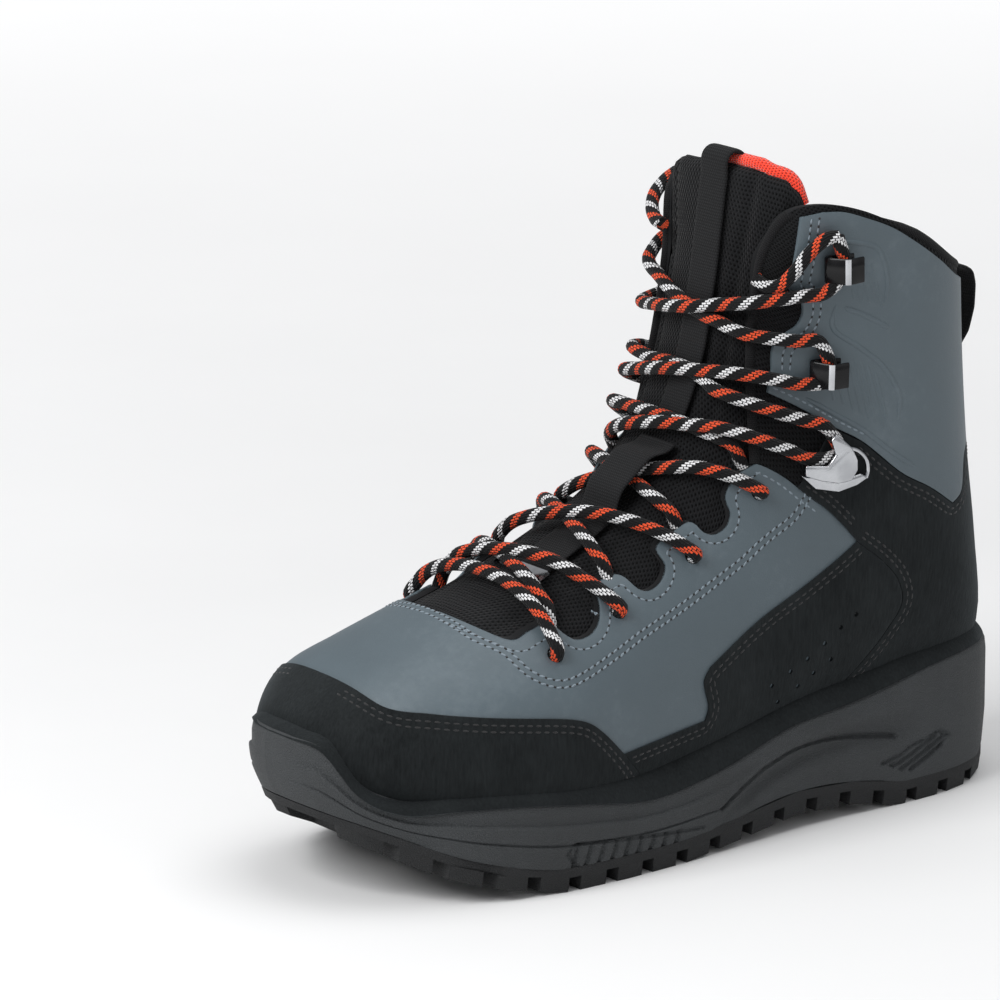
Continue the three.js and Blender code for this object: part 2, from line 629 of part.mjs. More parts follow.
function laceHoles() {
  return wasm.Manifold.union(HOLES.flatMap((hole) => [hole, mirror(hole)].map(({ at, turn }) => {
    const frame = lastFrame(at, radians(turn));
    const geometry = new THREE.CylinderGeometry(HOLE / 2, HOLE / 2, 4 * WALL, 8);
    const turned = new THREE.Quaternion().setFromUnitVectors(new THREE.Vector3(0, 1, 0), frame.normal);
    geometry.applyQuaternion(turned);
    geometry.translate(frame.place.x, frame.place.y, frame.place.z);
    return fromGeometry(geometry);
  })));
}

function buildUpper() {
  return layer(-WALL, 0).subtract(opening()).subtract(footOpening()).subtract(laceHoles());
}

// An overlay: the last grown over the upper, inside a side view outline, down to the sole's cup.
function overlay(points, from = -THROUGH, to = THROUGH) {
  return layer(CLEAR, CLEAR + OVERLAY)
    .intersect(sidePrism(points, from, to))
    .intersect(aboveRim(COVER - CLEAR));
}
const RAND_FOOT = RAND_REAR[RAND_REAR.length - 1][0];
function buildRand() {
  return overlay(sidePoints([
    [AHEAD, DEEP], [AHEAD, RAND_TOP[0][1]], ...RAND_TOP, ...RAND_REAR.slice(1), [RAND_FOOT, DEEP],
  ]));
}
function buildBand(side) {
  const points = [
    ...sidePoints([[RAND_FOOT, DEEP], ...RAND_REAR.slice(1).reverse(), ...BAND_TOP], -SEAM),
    ...sidePoints([...BAND_REAR.slice(1), [BAND_REAR[BAND_REAR.length - 1][0], DEEP]], SEAM),
  ];
  return side > 0 ? overlay(points, 0, THROUGH) : overlay(points, -THROUGH, 0);
}
function buildCounter() {
  return overlay([
    ...sidePoints(COUNTER_FRONT), ...sidePoints(BAND_REAR, -SEAM), ...sidePoints([[BEHIND, DEEP]]),
    ...sidePoints(PANEL_LOW.slice(3), 0, -SEAM).reverse(),
  ]);
}
function buildCollarPanel() {
  return overlay([
    ...sidePoints(PANEL_LOW, 0, SEAM).reverse(), ...sidePoints(PANEL_FRONT), ...sidePoints(PANEL_TOP),
  ]);
}

// The collar's padding lines the upper from just under the rim, and stops beside the tongue.
function buildCollarPad() {
  const outside = WALL + CLEAR;
  const front = TONGUE_SIDE.filter(([x]) => x < PAD_FRONT);
  const drop = COLLAR_PAD_DEPTH / UPPER_HEIGHT;
  return layer(-outside - COLLAR_PAD, -outside)
    .subtract(through([
      ...sidePoints(RIM, 0, -PAD_SET),
      ...sidePoints([[AHEAD, RIM[RIM.length - 1][1]], [AHEAD, HIGH], [BEHIND, HIGH]]),
    ]))
    .intersect(through([
      ...sidePoints([[BEHIND, RIM[0][1] - drop], [front[0][0], RIM[3][1] - drop]], -PAD_SET),
      ...sidePoints(front.slice(1), -PAD_SET),
      ...sidePoints([[front[front.length - 1][0], HIGH], [BEHIND, HIGH]]),
    ]));
}

function buildTongue() {
  const outside = WALL + CLEAR;
  const crest = TONGUE_CREST.map(([y, z]) => [y * BALL_WIDTH, rise(z)]).reverse();
  return layer(-outside - TONGUE, -outside)
    .intersect(through(sidePoints([
      ...TONGUE_SIDE, ...TONGUE_TOP, [AHEAD, TONGUE_TOP[2][1]], [AHEAD, TONGUE_SIDE[0][1]],
    ])))
    .intersect(frontPrism([
      [-THROUGH, 0], [THROUGH, 0], [THROUGH, crest[0][1]], ...crest, [-THROUGH, crest[crest.length - 1][1]],
    ]));
}

// The insole fills the bottom of the upper's hollow and follows the last's underside.
function buildInsole() {
  const top = [];
  const steps = 20;
  for (let i = 0; i <= steps; i += 1) {
    const at = INSOLE_TOE + (INSOLE_HEEL - INSOLE_TOE) * i / steps;
    top.push([last.backX(at) * LENGTH, rise(last.backRise(at)) + WALL + CLEAR + INSOLE]);
  }
  const ahead = AHEAD * LENGTH;
  const behind = BEHIND * LENGTH;
  return lastSolid(-WALL - CLEAR).intersect(through([
    [ahead, 0], [ahead, top[0][1]], ...top, [behind, top[steps][1]], [behind, 0],
  ]));
}

// A round cord through points.
function cord(points, sides = 8) {
  const path = new THREE.CatmullRomCurve3(points, false, "centripetal");
  const steps = Math.max(2, Math.round(path.getLength() / (3 * LACE)));
  const section = new THREE.Shape();
  for (let i = 0; i < sides; i += 1) {
    const turn = 2 * Math.PI * i / sides;
    const [x, y] = [LACE / 2 * Math.cos(turn), LACE / 2 * Math.sin(turn)];
    if (i === 0) section.moveTo(x, y);
    else section.lineTo(x, y);
  }
  section.closePath();
  return fromGeometry(new THREE.ExtrudeGeometry(section, { steps, extrudePath: path, curveSegments: 1 }));
}

// Heights of the lace's middle over the last: lying on the tongue, on its webbing, and on the upper.
const ON_TONGUE = LACE / 2 - WALL + 3 * CLEAR;
const ON_WEBBING = ON_TONGUE + WEBBING + 3 * CLEAR;
const ON_UPPER = LACE / 2 + 3 * CLEAR;
const ON_OVERLAY = ON_UPPER + OVERLAY + 2 * CLEAR;
const LEDGE_TURN = 145; // the upper's front edges lie below this turn
const LEDGE_SPAN = 20; // the turn over which a strand comes down from the edge onto the tongue
const UNDER_TURN = 19; // from a hole to where a strand comes out below the upper's edge
const RIDE = 0.6 * LACE; // one strand over the other
const RIDE_SPAN = 22; // the turn over which the upper strand comes down again
const STRAND_STEPS = 6;
const STRAND_ROOM = 0.1; // how far along the fan a strand may run past its stops
const HALVINGS = 24;
const BAR_AT = 0.345;
const BAR_SPAN = 0.006; // half the bar's height along the fan

const mirror = (stop) => ({ ...stop, at: stop.at + stop.slip, turn: 360 - stop.turn });
const over = (i) => ({ ...HOLES[i], off: ON_UPPER });
const under = (i) => {
  const { at, turn, slip, exit } = HOLES[i];
  return { at: at + exit, turn: turn + UNDER_TURN, slip, off: ON_TONGUE };
};
const hooked = (stop) => ({ ...stop, off: ON_OVERLAY });

// A strand drawn straight over the tongue from one stop to another. Turns count on past 180 to the inner
// side. The bed is its height on the tongue, and a strand that rides over another is raised in the middle.
function strand(start, end, bed, ride = 0) {
  const first = onLast(start.at, radians(start.turn), start.off);
  const final = onLast(end.at, radians(end.turn), end.off);
  const normalAt = (stop) => lastFrame(stop.at, radians(stop.turn)).normal;
  const out = normalAt(start).add(normalAt(end));
  const across = final.clone().sub(first).cross(out).normalize();
  const points = [];
  for (let i = 0; i <= STRAND_STEPS; i += 1) {
    const turn = start.turn + (end.turn - start.turn) * i / STRAND_STEPS;
    const hold = (stop) => LEDGE_TURN - Math.min(stop.turn, 360 - stop.turn);
    const near = (stop) => 1 - THREE.MathUtils.smoothstep(
      Math.abs(turn - stop.turn), hold(stop), hold(stop) + LEDGE_SPAN);
    const hump = ride * Math.exp(-(((turn - 180) / RIDE_SPAN) ** 2));
    const off = bed + hump + (start.off - bed) * near(start) + (end.off - bed) * near(end);
    let from = Math.min(start.at, end.at) - STRAND_ROOM;
    let to = Math.max(start.at, end.at) + STRAND_ROOM;
    const side = (at) => onLast(at, radians(turn), off).sub(first).dot(across);
    const rising = side(to) > side(from);
    for (let k = 0; k < HALVINGS; k += 1) {
      const middle = (from + to) / 2;
      if ((side(middle) > 0) === rising) to = middle;
      else from = middle;
    }
    points.push(onLast((from + to) / 2, radians(turn), off));
  }
  return cord(points);
}
const crossing = (fromStop, toStop, bed, ride) => wasm.Manifold.union([
  strand(fromStop, mirror(toStop), bed), strand(mirror(fromStop), toStop, bed, ride),
]);

// A lace end, down from its hook over the padding's edge onto the tongue.
function laceEnd(route) {
  return cord(route.map(([at, turn], i) => {
    const share = i / (route.length - 1);
    return onLast(at, radians(turn), ON_OVERLAY + (ON_WEBBING - ON_OVERLAY) * share ** 2);
  }));
}

// A sheet hook: a foot on the boot, a riser towards the throat and a face turned back over the lace.
function buildHook({ at, turn }, standOff) {
  const half = HOOK_REACH / 2;
  const s = HOOK_SHEET;
  const under = LACE + HOOK_PLAY + s; // the face's inner side
  const over = under + s;
  const shape = outline([
    [-half, 0], [half, 0], [half, over], [HOOK_LIP - half, over],
    [-half, over - HOOK_LIP], [s - half, under - HOOK_LIP + 0.5 * s], [HOOK_LIP + s - half, under],
    [half - s, under], [half - s, s], [-half, s],
  ]);
  return placed(shape, HOOK_HEIGHT, at, turn, standOff);
}

// An outline in the plane square to the boot's side, drawn up along the fan and set on the boot.
function placed(shape, height, at, turn, standOff) {
  const geometry = new THREE.ExtrudeGeometry(shape, { depth: height, bevelEnabled: false });
  geometry.translate(0, 0, -height / 2);
  const frame = lastFrame(at, radians(turn));
  const up = frame.along.clone();
  const forward = frame.normal.clone().cross(up).multiplyScalar(-1).normalize();
  if (forward.x < 0) forward.multiplyScalar(-1);
  const place = frame.place.clone().addScaledVector(frame.normal, standOff);
  geometry.applyMatrix4(new THREE.Matrix4().makeBasis(forward, frame.normal, up).setPosition(place));
  return fromGeometry(geometry);
}

// The lock hook: a round foot plate below a deep hook with a cheek that grips the lace.
function buildLock({ at, turn }) {
  const off = 2 * CLEAR + OVERLAY;
  const s = LOCK_SHEET;
  const gap = LACE + LOCK_PLAY;
  const r = LOCK_WIDTH / 2;
  const rear = -0.5 * r;
  const front = 0.7 * r;
  const body = outline([
    [rear, 0], [front, 0], [front, gap + s], [front - s, gap + 2 * s], [rear, gap + 2 * s],
    [rear, gap + s], [front - 1.6 * s, gap + s], [front - s, gap], [front - s, s], [rear, s],
  ]);
  const arm = placed(body, HOOK_HEIGHT, at + LOCK_SET, turn, off);
  const foot = new THREE.CylinderGeometry(r, r, s, 16);
  foot.scale(1, 1, LOCK_FOOT_SHARE);
  const frame = lastFrame(at, radians(turn));
  const forward = frame.normal.clone().cross(frame.along).normalize();
  if (forward.x < 0) forward.multiplyScalar(-1);
  const basis = new THREE.Matrix4().makeBasis(forward, frame.normal, frame.along);
  foot.applyMatrix4(basis.setPosition(frame.place.clone().addScaledVector(frame.normal, off + s / 2)));
  return arm.add(fromGeometry(foot));
}

// A flat strip through frames, each with its middle, the way across and the way out.
function strip(stations, width, thick) {
  return loft(stations.map(({ place, across, out }) => [[-1, 0], [1, 0], [1, 1], [-1, 1]].map(([a, b]) =>
    place.clone().addScaledVector(across, a * width / 2).addScaledVector(out, b * thick))));
}
function ridgeStation(at, off) {
  const frame = lastFrame(at, Math.PI - 0.02);
  const across = new THREE.Vector3(0, 1, 0);
  const out = frame.along.clone().cross(across).normalize();
  if (out.x < 0) out.multiplyScalar(-1);
  const place = bareLast(at, Math.PI - 0.02).addScaledVector(out, off);
  place.y += WEBBING_ASIDE;
  return { place, across, out };
}

const LOOP_STATIONS = [0.60, 0.66, 0.72, 0.78, 0.84, 0.90, 0.96, 1.01];
const LOOP_STEPS = 6;

// The tongue's webbing: a strip down its middle whose top is folded over the tongue's edge as a pull loop.
function buildTongueLoop() {
  const stations = LOOP_STATIONS.map((at) => ridgeStation(at, -WALL));
  const { place, across } = stations[stations.length - 1];
  const centre = new THREE.Vector3(place.x - LOOP_RADIUS, place.y, rise(TONGUE_CREST[5][1]) + 2 * CLEAR);
  for (let i = 0; i <= LOOP_STEPS; i += 1) {
    const turn = Math.PI * i / LOOP_STEPS;
    const out = new THREE.Vector3(Math.cos(turn), 0, Math.sin(turn));
    stations.push({ place: centre.clone().addScaledVector(out, LOOP_RADIUS), across, out });
  }
  return strip(stations, LOOP_WIDTH, WEBBING);
}

// The keeper's way along the tongue, as shares of its rise from the tongue to over the third crossing.
const KEEPER = [
  [0.328, 0], [0.350, 0], [0.380, 0], [0.425, 0], [0.448, 0.04], [0.468, 0.93],
  [0.485, 1], [0.510, 1], [0.530, 0.93], [0.548, 0.08], [0.562, 0.03],
];
const KEEPER_PLAY = 0.6;

// A wide strip sewn down the tongue, under the lower crossings and over the third.
function buildKeeper() {
  const lifted = ON_TONGUE + LACE / 2 + 2 * CLEAR + KEEPER_PLAY + WALL;
  const stations = KEEPER.map(([at, share]) => ridgeStation(at, share * lifted - WALL));
  return strip(stations, KEEPER_WIDTH, WEBBING);
}
function buildWebbingBar() {
  return strip([BAR_AT - BAR_SPAN, BAR_AT + BAR_SPAN].map((at) => ridgeStation(at, WEBBING + CLEAR - WALL)),
    BAR_WIDTH, BAR_THICK);
}

// The heel's pull loop bows out behind the collar.
function buildHeelLoop() {
  const off = 3 * CLEAR + OVERLAY;
  const foot = onLast(HEEL_LOOP_FOOT, 0, off);
  const head = onLast(HEEL_LOOP_HEAD, 0, off);
  const across = new THREE.Vector3(0, 1, 0);
  const stations = [];
  for (let i = 0; i <= HEEL_LOOP_STEPS; i += 1) {
    const share = i / HEEL_LOOP_STEPS;
    const place = foot.clone().lerp(head, share);
    place.x -= HEEL_LOOP_REACH * Math.sin(Math.PI * share) ** 0.5;
    stations.push({ place, across });
  }
  stations.forEach((station, i) => {
    const a = stations[Math.max(i - 1, 0)].place;
    const b = stations[Math.min(i + 1, stations.length - 1)].place;
    const along = b.clone().sub(a).normalize();
    station.out = new THREE.Vector3(-along.z, 0, along.x);
  });
  return strip(stations, HEEL_LOOP_WIDTH, WEBBING);
}

const LEATHER = { color: 0x5f6c74, roughness: 0.55, metalness: 0 };
const NUBUCK = { color: 0x24282a, roughness: 0.85, metalness: 0 };
const FABRIC = { color: 0x1d1d1f, roughness: 0.95, metalness: 0 };
const RUBBER = { color: 0x3c4043, roughness: 0.8, metalness: 0 };
const TREAD = { color: 0x2a2c2e, roughness: 0.85, metalness: 0 };
const CORD = { color: 0x2b2322, roughness: 0.9, metalness: 0 };
const BLACK_METAL = { color: 0x101113, roughness: 0.3, metalness: 0.6 };
const BRIGHT_METAL = { color: 0xa9adb2, roughness: 0.3, metalness: 1 };

const boot = new THREE.Group();
boot.position.x = -HEEL_SEAT;

function addPiece(name, piece, finish) {
  const mesh = piece.getMesh();
  const geometry = new THREE.BufferGeometry();
  geometry.setAttribute("position", new THREE.BufferAttribute(mesh.vertProperties, 3));
  geometry.setIndex(new THREE.BufferAttribute(mesh.triVerts, 1));
  geometry.computeVertexNormals();
  const made = new THREE.Mesh(geometry, new THREE.MeshStandardMaterial(finish));
  made.name = name;
  boot.add(made);
}

addPiece("outsole", buildOutsole(), TREAD);
addPiece("midsole", buildMidsole(), RUBBER);
addPiece("upper", buildUpper(), LEATHER);
addPiece("tongue", buildTongue(), FABRIC);
addPiece("insole", buildInsole(), FABRIC);
addPiece("collar_padding", buildCollarPad(), FABRIC);
addPiece("toe_rand", buildRand(), NUBUCK);
addPiece("side_band_outer", buildBand(1), NUBUCK);
addPiece("side_band_inner", buildBand(-1), NUBUCK);
addPiece("heel_counter", buildCounter(), NUBUCK);
addPiece("collar_panel", buildCollarPanel(), LEATHER);
addPiece("tongue_loop", buildTongueLoop(), FABRIC);
addPiece("lace_keeper", buildKeeper(), FABRIC);
addPiece("keeper_bar", buildWebbingBar(), BRIGHT_METAL);
addPiece("heel_loop", buildHeelLoop(), FABRIC);
for (const [side, word] of [[1, "outer"], [-1, "inner"]]) {
  HOOKS.forEach((hook, i) => {
    const own = side > 0 ? hook : mirror(hook);
    addPiece(`lace_hook_${word}_${i + 1}`, buildHook(own, 2 * CLEAR + OVERLAY), BLACK_METAL);
  });
  addPiece(`lock_hook_${word}`, buildLock(side > 0 ? LOCK : mirror(LOCK)), BRIGHT_METAL);
  addPiece(`lace_end_${word}`, laceEnd(side > 0 ? END_OUTER : END_INNER), CORD);
}
addPiece("lace_bar", strand(over(0), mirror(over(0)), ON_TONGUE), CORD);
[ON_WEBBING + BAR_THICK, ON_WEBBING, ON_TONGUE].forEach((bed, i) => {
  const ride = bed === ON_TONGUE ? 0 : RIDE; // the keeper holds the third crossing flat
  addPiece(`lace_crossing_${i + 1}`, crossing(under(i), over(i + 1), bed, ride), CORD);
});
addPiece("lace_crossing_4", crossing(under(3), hooked(LOCK_LOW), ON_WEBBING, RIDE), CORD);
addPiece("lace_crossing_5", crossing(hooked(LOCK_HIGH), hooked(HOOK_LOW[0]), ON_WEBBING, RIDE), CORD);
addPiece("lace_crossing_6", crossing(hooked(HOOK_HIGH[0]), hooked(HOOK_LOW[1]), ON_WEBBING, RIDE), CORD);

export default boot;
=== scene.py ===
"""Looks of the wading boot: its leather, nubuck, mesh, rubber, lace and metal, built over the CAD frame."""

import math

import bmesh
import bpy
import numpy as np
from mathutils import Matrix, Vector
from mathutils.bvhtree import BVHTree


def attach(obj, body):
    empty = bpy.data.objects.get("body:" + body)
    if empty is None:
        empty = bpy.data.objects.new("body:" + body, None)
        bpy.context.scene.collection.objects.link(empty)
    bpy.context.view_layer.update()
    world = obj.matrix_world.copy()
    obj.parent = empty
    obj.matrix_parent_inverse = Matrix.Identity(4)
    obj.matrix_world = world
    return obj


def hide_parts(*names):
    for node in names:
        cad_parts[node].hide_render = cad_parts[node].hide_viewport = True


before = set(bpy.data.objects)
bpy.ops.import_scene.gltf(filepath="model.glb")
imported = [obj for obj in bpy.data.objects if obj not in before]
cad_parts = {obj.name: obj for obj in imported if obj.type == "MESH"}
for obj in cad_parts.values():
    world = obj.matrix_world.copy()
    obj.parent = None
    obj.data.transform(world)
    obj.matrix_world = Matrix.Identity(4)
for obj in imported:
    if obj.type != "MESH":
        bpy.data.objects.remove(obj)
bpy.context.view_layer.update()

# Sizes in metres, the same as the part's
MM = 0.001
LENGTH = 0.312
BALL_WIDTH = 0.113
FOOTBED = 0.034
UPPER_HEIGHT = 0.200
HEEL_SEAT = 0.042
FOREFOOT_SEAT = 0.190
BALL_CONTACT = 0.036
HEEL_CONTACT = 0.023
TOE_SPRING = 0.026
ARCH_LIFT = 0.006
HEEL_BEVEL = 0.011
LUG_HEIGHT = 0.0055
PLATE = 0.0035
WALL = 0.0024
OVERLAY = 0.0014
LACE = 0.005
HOLE = 0.0062
WEBBING = 0.0016
TONGUE = 0.007
WEBBING_ASIDE = 0.003
LOOP_WIDTH = 0.015
LOOP_RADIUS = 0.0036
KEEPER_WIDTH = 0.020
HEEL_LOOP_WIDTH = 0.022
HEEL_LOOP_REACH = 0.0115

# The last: see the part's source for what its columns mean
LAST_COLUMNS = (
    "back_x", "back_rise", "front_x", "front_rise", "outer", "inner", "waist", "low_square",
    "outer_square", "inner_square", "shift",
)
LAST = (
    (0.00, 0.971, 0.050, 0.970, 0.105, 0.080, 0.080, 0.50, 2.2, 2.2, 2.2, -0.097),
    (0.03, 0.965, 0.035, 0.962, 0.143, 0.170, 0.168, 0.46, 2.4, 2.3, 2.3, -0.097),
    (0.07, 0.949, 0.020, 0.942, 0.180, 0.262, 0.254, 0.42, 2.6, 2.4, 2.4, -0.088),
    (0.12, 0.917, 0.000, 0.907, 0.223, 0.355, 0.345, 0.40, 2.9, 2.4, 2.4, -0.075),
    (0.18, 0.865, -0.023, 0.849, 0.260, 0.425, 0.400, 0.37, 3.2, 2.3, 2.3, -0.055),
    (0.25, 0.798, -0.043, 0.776, 0.298, 0.472, 0.445, 0.34, 3.5, 2.2, 2.3, -0.040),
    (0.33, 0.718, -0.060, 0.686, 0.342, 0.485, 0.455, 0.33, 3.5, 2.2, 2.5, -0.028),
    (0.41, 0.628, -0.065, 0.599, 0.405, 0.462, 0.420, 0.32, 3.3, 2.2, 2.7, -0.026),
    (0.49, 0.529, -0.060, 0.526, 0.478, 0.428, 0.380, 0.32, 3.0, 2.2, 2.7, -0.022),
    (0.57, 0.417, -0.043, 0.476, 0.563, 0.398, 0.374, 0.36, 2.8, 2.2, 2.8, -0.013),
    (0.65, 0.295, -0.020, 0.450, 0.650, 0.385, 0.380, 0.42, 2.6, 2.3, 2.8, -0.009),
    (0.72, 0.167, -0.003, 0.438, 0.722, 0.381, 0.388, 0.46, 2.5, 2.3, 2.8, 0.000),
    (0.78, 0.064, 0.015, 0.432, 0.778, 0.385, 0.394, 0.48, 2.4, 2.4, 2.8, 0.000),
    (0.82, 0.027, 0.090, 0.428, 0.815, 0.389, 0.396, 0.48, 2.3, 2.4, 2.8, 0.000),
    (0.87, 0.034, 0.255, 0.424, 0.860, 0.398, 0.400, 0.47, 2.2, 2.5, 2.7, 0.000),
    (0.92, 0.054, 0.455, 0.420, 0.910, 0.403, 0.403, 0.46, 2.2, 2.5, 2.6, 0.000),
    (0.96, 0.067, 0.645, 0.417, 0.965, 0.407, 0.407, 0.45, 2.2, 2.7, 2.7, 0.000),
    (1.00, 0.075, 0.830, 0.413, 1.025, 0.411, 0.411, 0.45, 2.2, 2.8, 2.8, 0.000),
    (1.10, 0.090, 1.090, 0.397, 1.150, 0.411, 0.411, 0.45, 2.2, 2.8, 2.8, 0.000),
)
SOLE_COLUMNS = ("x", "outer", "inner", "rim_outer", "rim_inner")
SOLE = (
    (0.00, 1.000, -0.088, 0.088, 0.126, 0.126),
    (0.03, 0.996, 0.018, 0.168, 0.124, 0.125),
    (0.07, 0.982, 0.150, 0.257, 0.112, 0.122),
    (0.11, 0.958, 0.252, 0.336, 0.042, 0.104),
    (0.16, 0.920, 0.341, 0.442, 0.009, 0.040),
    (0.22, 0.862, 0.420, 0.496, 0.009, 0.010),
    (0.29, 0.788, 0.478, 0.525, 0.006, 0.008),
    (0.37, 0.699, 0.501, 0.518, -0.010, -0.002),
    (0.46, 0.596, 0.487, 0.463, -0.030, -0.018),
    (0.55, 0.487, 0.451, 0.389, -0.008, 0.006),
    (0.64, 0.378, 0.407, 0.354, 0.034, 0.044),
    (0.73, 0.269, 0.388, 0.357, 0.056, 0.060),
    (0.81, 0.173, 0.377, 0.365, 0.086, 0.086),
    (0.88, 0.096, 0.341, 0.336, 0.103, 0.103),
    (0.93, 0.048, 0.270, 0.270, 0.112, 0.112),
    (0.97, 0.016, 0.164, 0.164, 0.116, 0.116),
    (1.00, 0.000, 0.000, 0.000, 0.118, 0.118),
)

# Side view outlines, as shares of the length and rises in shares of the upper's height
RIM = (
    (-0.050, 0.800), (0.100, 0.824), (0.136, 0.846), (0.172, 0.882), (0.216, 0.922), (0.256, 0.955),
    (0.300, 0.982), (0.341, 0.993), (0.366, 0.987), (0.379, 0.970), (0.387, 0.938), (0.394, 0.900),
    (0.397, 0.841), (0.401, 0.760), (0.405, 0.690), (0.408, 0.620), (0.411, 0.560), (0.413, 0.524),
)
THROAT = (
    (0.432, 0.509), (0.447, 0.483), (0.452, 0.464), (0.450, 0.440), (0.457, 0.418), (0.473, 0.406),
    (0.486, 0.412), (0.495, 0.429), (0.518, 0.414), (0.543, 0.388), (0.540, 0.362), (0.552, 0.338),
    (0.571, 0.326), (0.583, 0.332), (0.595, 0.354), (0.612, 0.350), (0.627, 0.336), (0.634, 0.310),
    (0.644, 0.286), (0.661, 0.269), (0.680, 0.266), (0.690, 0.277), (0.697, 0.290), (0.722, 0.282),
    (0.747, 0.271), (0.773, 0.290), (0.786, 0.304),
)
INNER_THROAT_SHIFT = 0.08
THROAT_SLOPE = 0.55
THROAT_FRONT = 0.8
QUARTER_REAR = (
    (0.413, 0.524), (0.403, 0.517), (0.383, 0.497), (0.366, 0.475), (0.356, 0.461), (0.327, 0.427),
    (0.301, 0.390), (0.283, 0.360),
)
RAND_TOP = (
    (0.925, 0.212), (0.912, 0.186), (0.871, 0.175), (0.812, 0.163), (0.712, 0.142), (0.688, 0.129),
    (0.668, 0.105), (0.637, 0.057),
)
RAND_REAR = ((0.637, 0.057), (0.610, 0.010), (0.580, -0.050))
BAND_TOP = (
    (0.637, 0.057), (0.510, 0.079), (0.505, 0.101), (0.512, 0.154), (0.502, 0.177), (0.427, 0.244),
    (0.360, 0.291), (0.310, 0.333), (0.284, 0.358),
)
BAND_REAR = (
    (0.284, 0.358), (0.244, 0.311), (0.220, 0.270), (0.211, 0.225), (0.232, 0.170), (0.314, 0.022),
    (0.340, -0.060),
)
COUNTER_FRONT = ((0.319, 0.577), (0.350, 0.500), (0.366, 0.474), (0.327, 0.427), (0.301, 0.388))
PANEL_LOW = (
    (0.393, 0.649), (0.361, 0.621), (0.319, 0.580), (0.281, 0.547), (0.221, 0.474), (0.178, 0.438),
    (0.136, 0.396), (0.117, 0.411), (0.103, 0.480), (0.060, 0.500), (-0.050, 0.500),
)
PANEL_FRONT = (
    (0.387, 0.688), (0.384, 0.732), (0.374, 0.756), (0.362, 0.774), (0.357, 0.797), (0.360, 0.823),
    (0.370, 0.838), (0.368, 0.893), (0.364, 0.972),
)
PANEL_TOP = (
    (0.340, 0.980), (0.316, 0.978), (0.288, 0.964), (0.250, 0.940), (0.212, 0.905), (0.172, 0.865),
    (0.134, 0.826), (0.100, 0.804), (-0.050, 0.780),
)
TONGUE_CREST = 1.052
TONGUE_SIDE = (
    (0.830, 0.200), (0.760, 0.205), (0.690, 0.215), (0.610, 0.258), (0.530, 0.310), (0.470, 0.365),
    (0.415, 0.440), (0.390, 0.500), (0.372, 0.600), (0.362, 0.720), (0.352, 0.880), (0.346, 1.020),
)

# The lace's holes, hooks and stops: along the fan, degrees round, and the inner side's slip along the fan
HOLES = (
    (0.315, 130, -0.006, 0.014), (0.400, 132, -0.016, 0.006), (0.515, 129, -0.034, -0.006),
    (0.645, 121, -0.052, -0.004),
)
LOCK = (0.772, 107, -0.030)
HOOKS = ((0.853, 118, -0.010), (0.961, 113, 0.012))
LOCK_LOW = (0.732, 115, -0.040)
LOCK_HIGH = (0.785, 116, -0.025)
HOOK_LOW = ((0.803, 127, -0.022), (0.935, 120, 0.014))
HOOK_HIGH = ((0.880, 122, 0.004), (0.984, 115, 0.008))
END_OUTER = (
    (0.984, 115), (0.980, 119), (0.962, 126), (0.938, 132), (0.914, 138), (0.903, 143), (0.905, 148),
)
END_INNER = (
    (1.002, 246), (0.992, 238), (0.976, 226), (0.958, 214), (0.942, 204), (0.934, 196),
)
ON_TONGUE = 0.0010
ON_WEBBING = 0.0035
ON_UPPER = 0.0034
ON_OVERLAY = 0.0054
IN_HOLE = -0.0010
BELOW_HOLE = -0.0030
BAR_TUCK = (0.006, 10)
BAR_LIFT = 0.0014
IN_HOOK = ON_OVERLAY - 0.0004
ROUND_LOCK = (LOCK[0] + 0.006, LOCK[1] + 2, LOCK[2])
ROUND_HOOKS = (
    (HOOKS[0][0] - 0.004, HOOKS[0][1] - 1, HOOKS[0][2]), (HOOKS[1][0], HOOKS[1][1] - 1, HOOKS[1][2]),
)
STRAND_BEDS = (ON_WEBBING + WEBBING, ON_WEBBING, ON_TONGUE)
LEDGE_TURN = 145
LEDGE_SPAN = 20
UNDER_TURN = 19
RIDE = 0.003
RIDE_SPAN = 22
LACE_STEP = 0.0012


def curves(columns, rows):
    """Smooth curves through a table's rows, one for each named column."""
    at = np.array([row[0] for row in rows])
    found = {}
    for column, name in enumerate(columns, 1):
        values = np.array([row[column] for row in rows])
        steps = np.diff(at)
        rises = np.diff(values) / steps
        slopes = np.empty(len(at))
        slopes[0] = rises[0]
        slopes[-1] = rises[-1]
        slopes[1:-1] = (rises[:-1] * steps[1:] + rises[1:] * steps[:-1]) / (steps[1:] + steps[:-1])

        def curve(where, at=at, values=values, steps=steps, slopes=slopes):
            t = np.clip(where, at[0], at[-1])
            i = np.clip(np.searchsorted(at, t) - 1, 0, len(at) - 2)
            s = (t - at[i]) / steps[i]
            return (
                (2 * s**3 - 3 * s**2 + 1) * values[i]
                + (s**3 - 2 * s**2 + s) * steps[i] * slopes[i]
                + (3 * s**2 - 2 * s**3) * values[i + 1]
                + (s**3 - s**2) * steps[i] * slopes[i + 1]
            )

        found[name] = curve
    return found


last = curves(LAST_COLUMNS, LAST)
sole = curves(SOLE_COLUMNS, SOLE)


def rise(share):
    return FOOTBED + share * UPPER_HEIGHT


def side_xz(shares):
    """Side view points in the row frame, in metres."""
    return [(x * LENGTH - HEEL_SEAT, rise(z)) for x, z in shares]


def unit(ways):
    """Ways made 1 long."""
    return ways / np.linalg.norm(ways, axis=-1, keepdims=True)


def read_off(rows, at):
    """A table of pairs read at a place, in straight lines between its rows."""
    return np.interp(at, [row[0] for row in rows], [row[1] for row in rows])


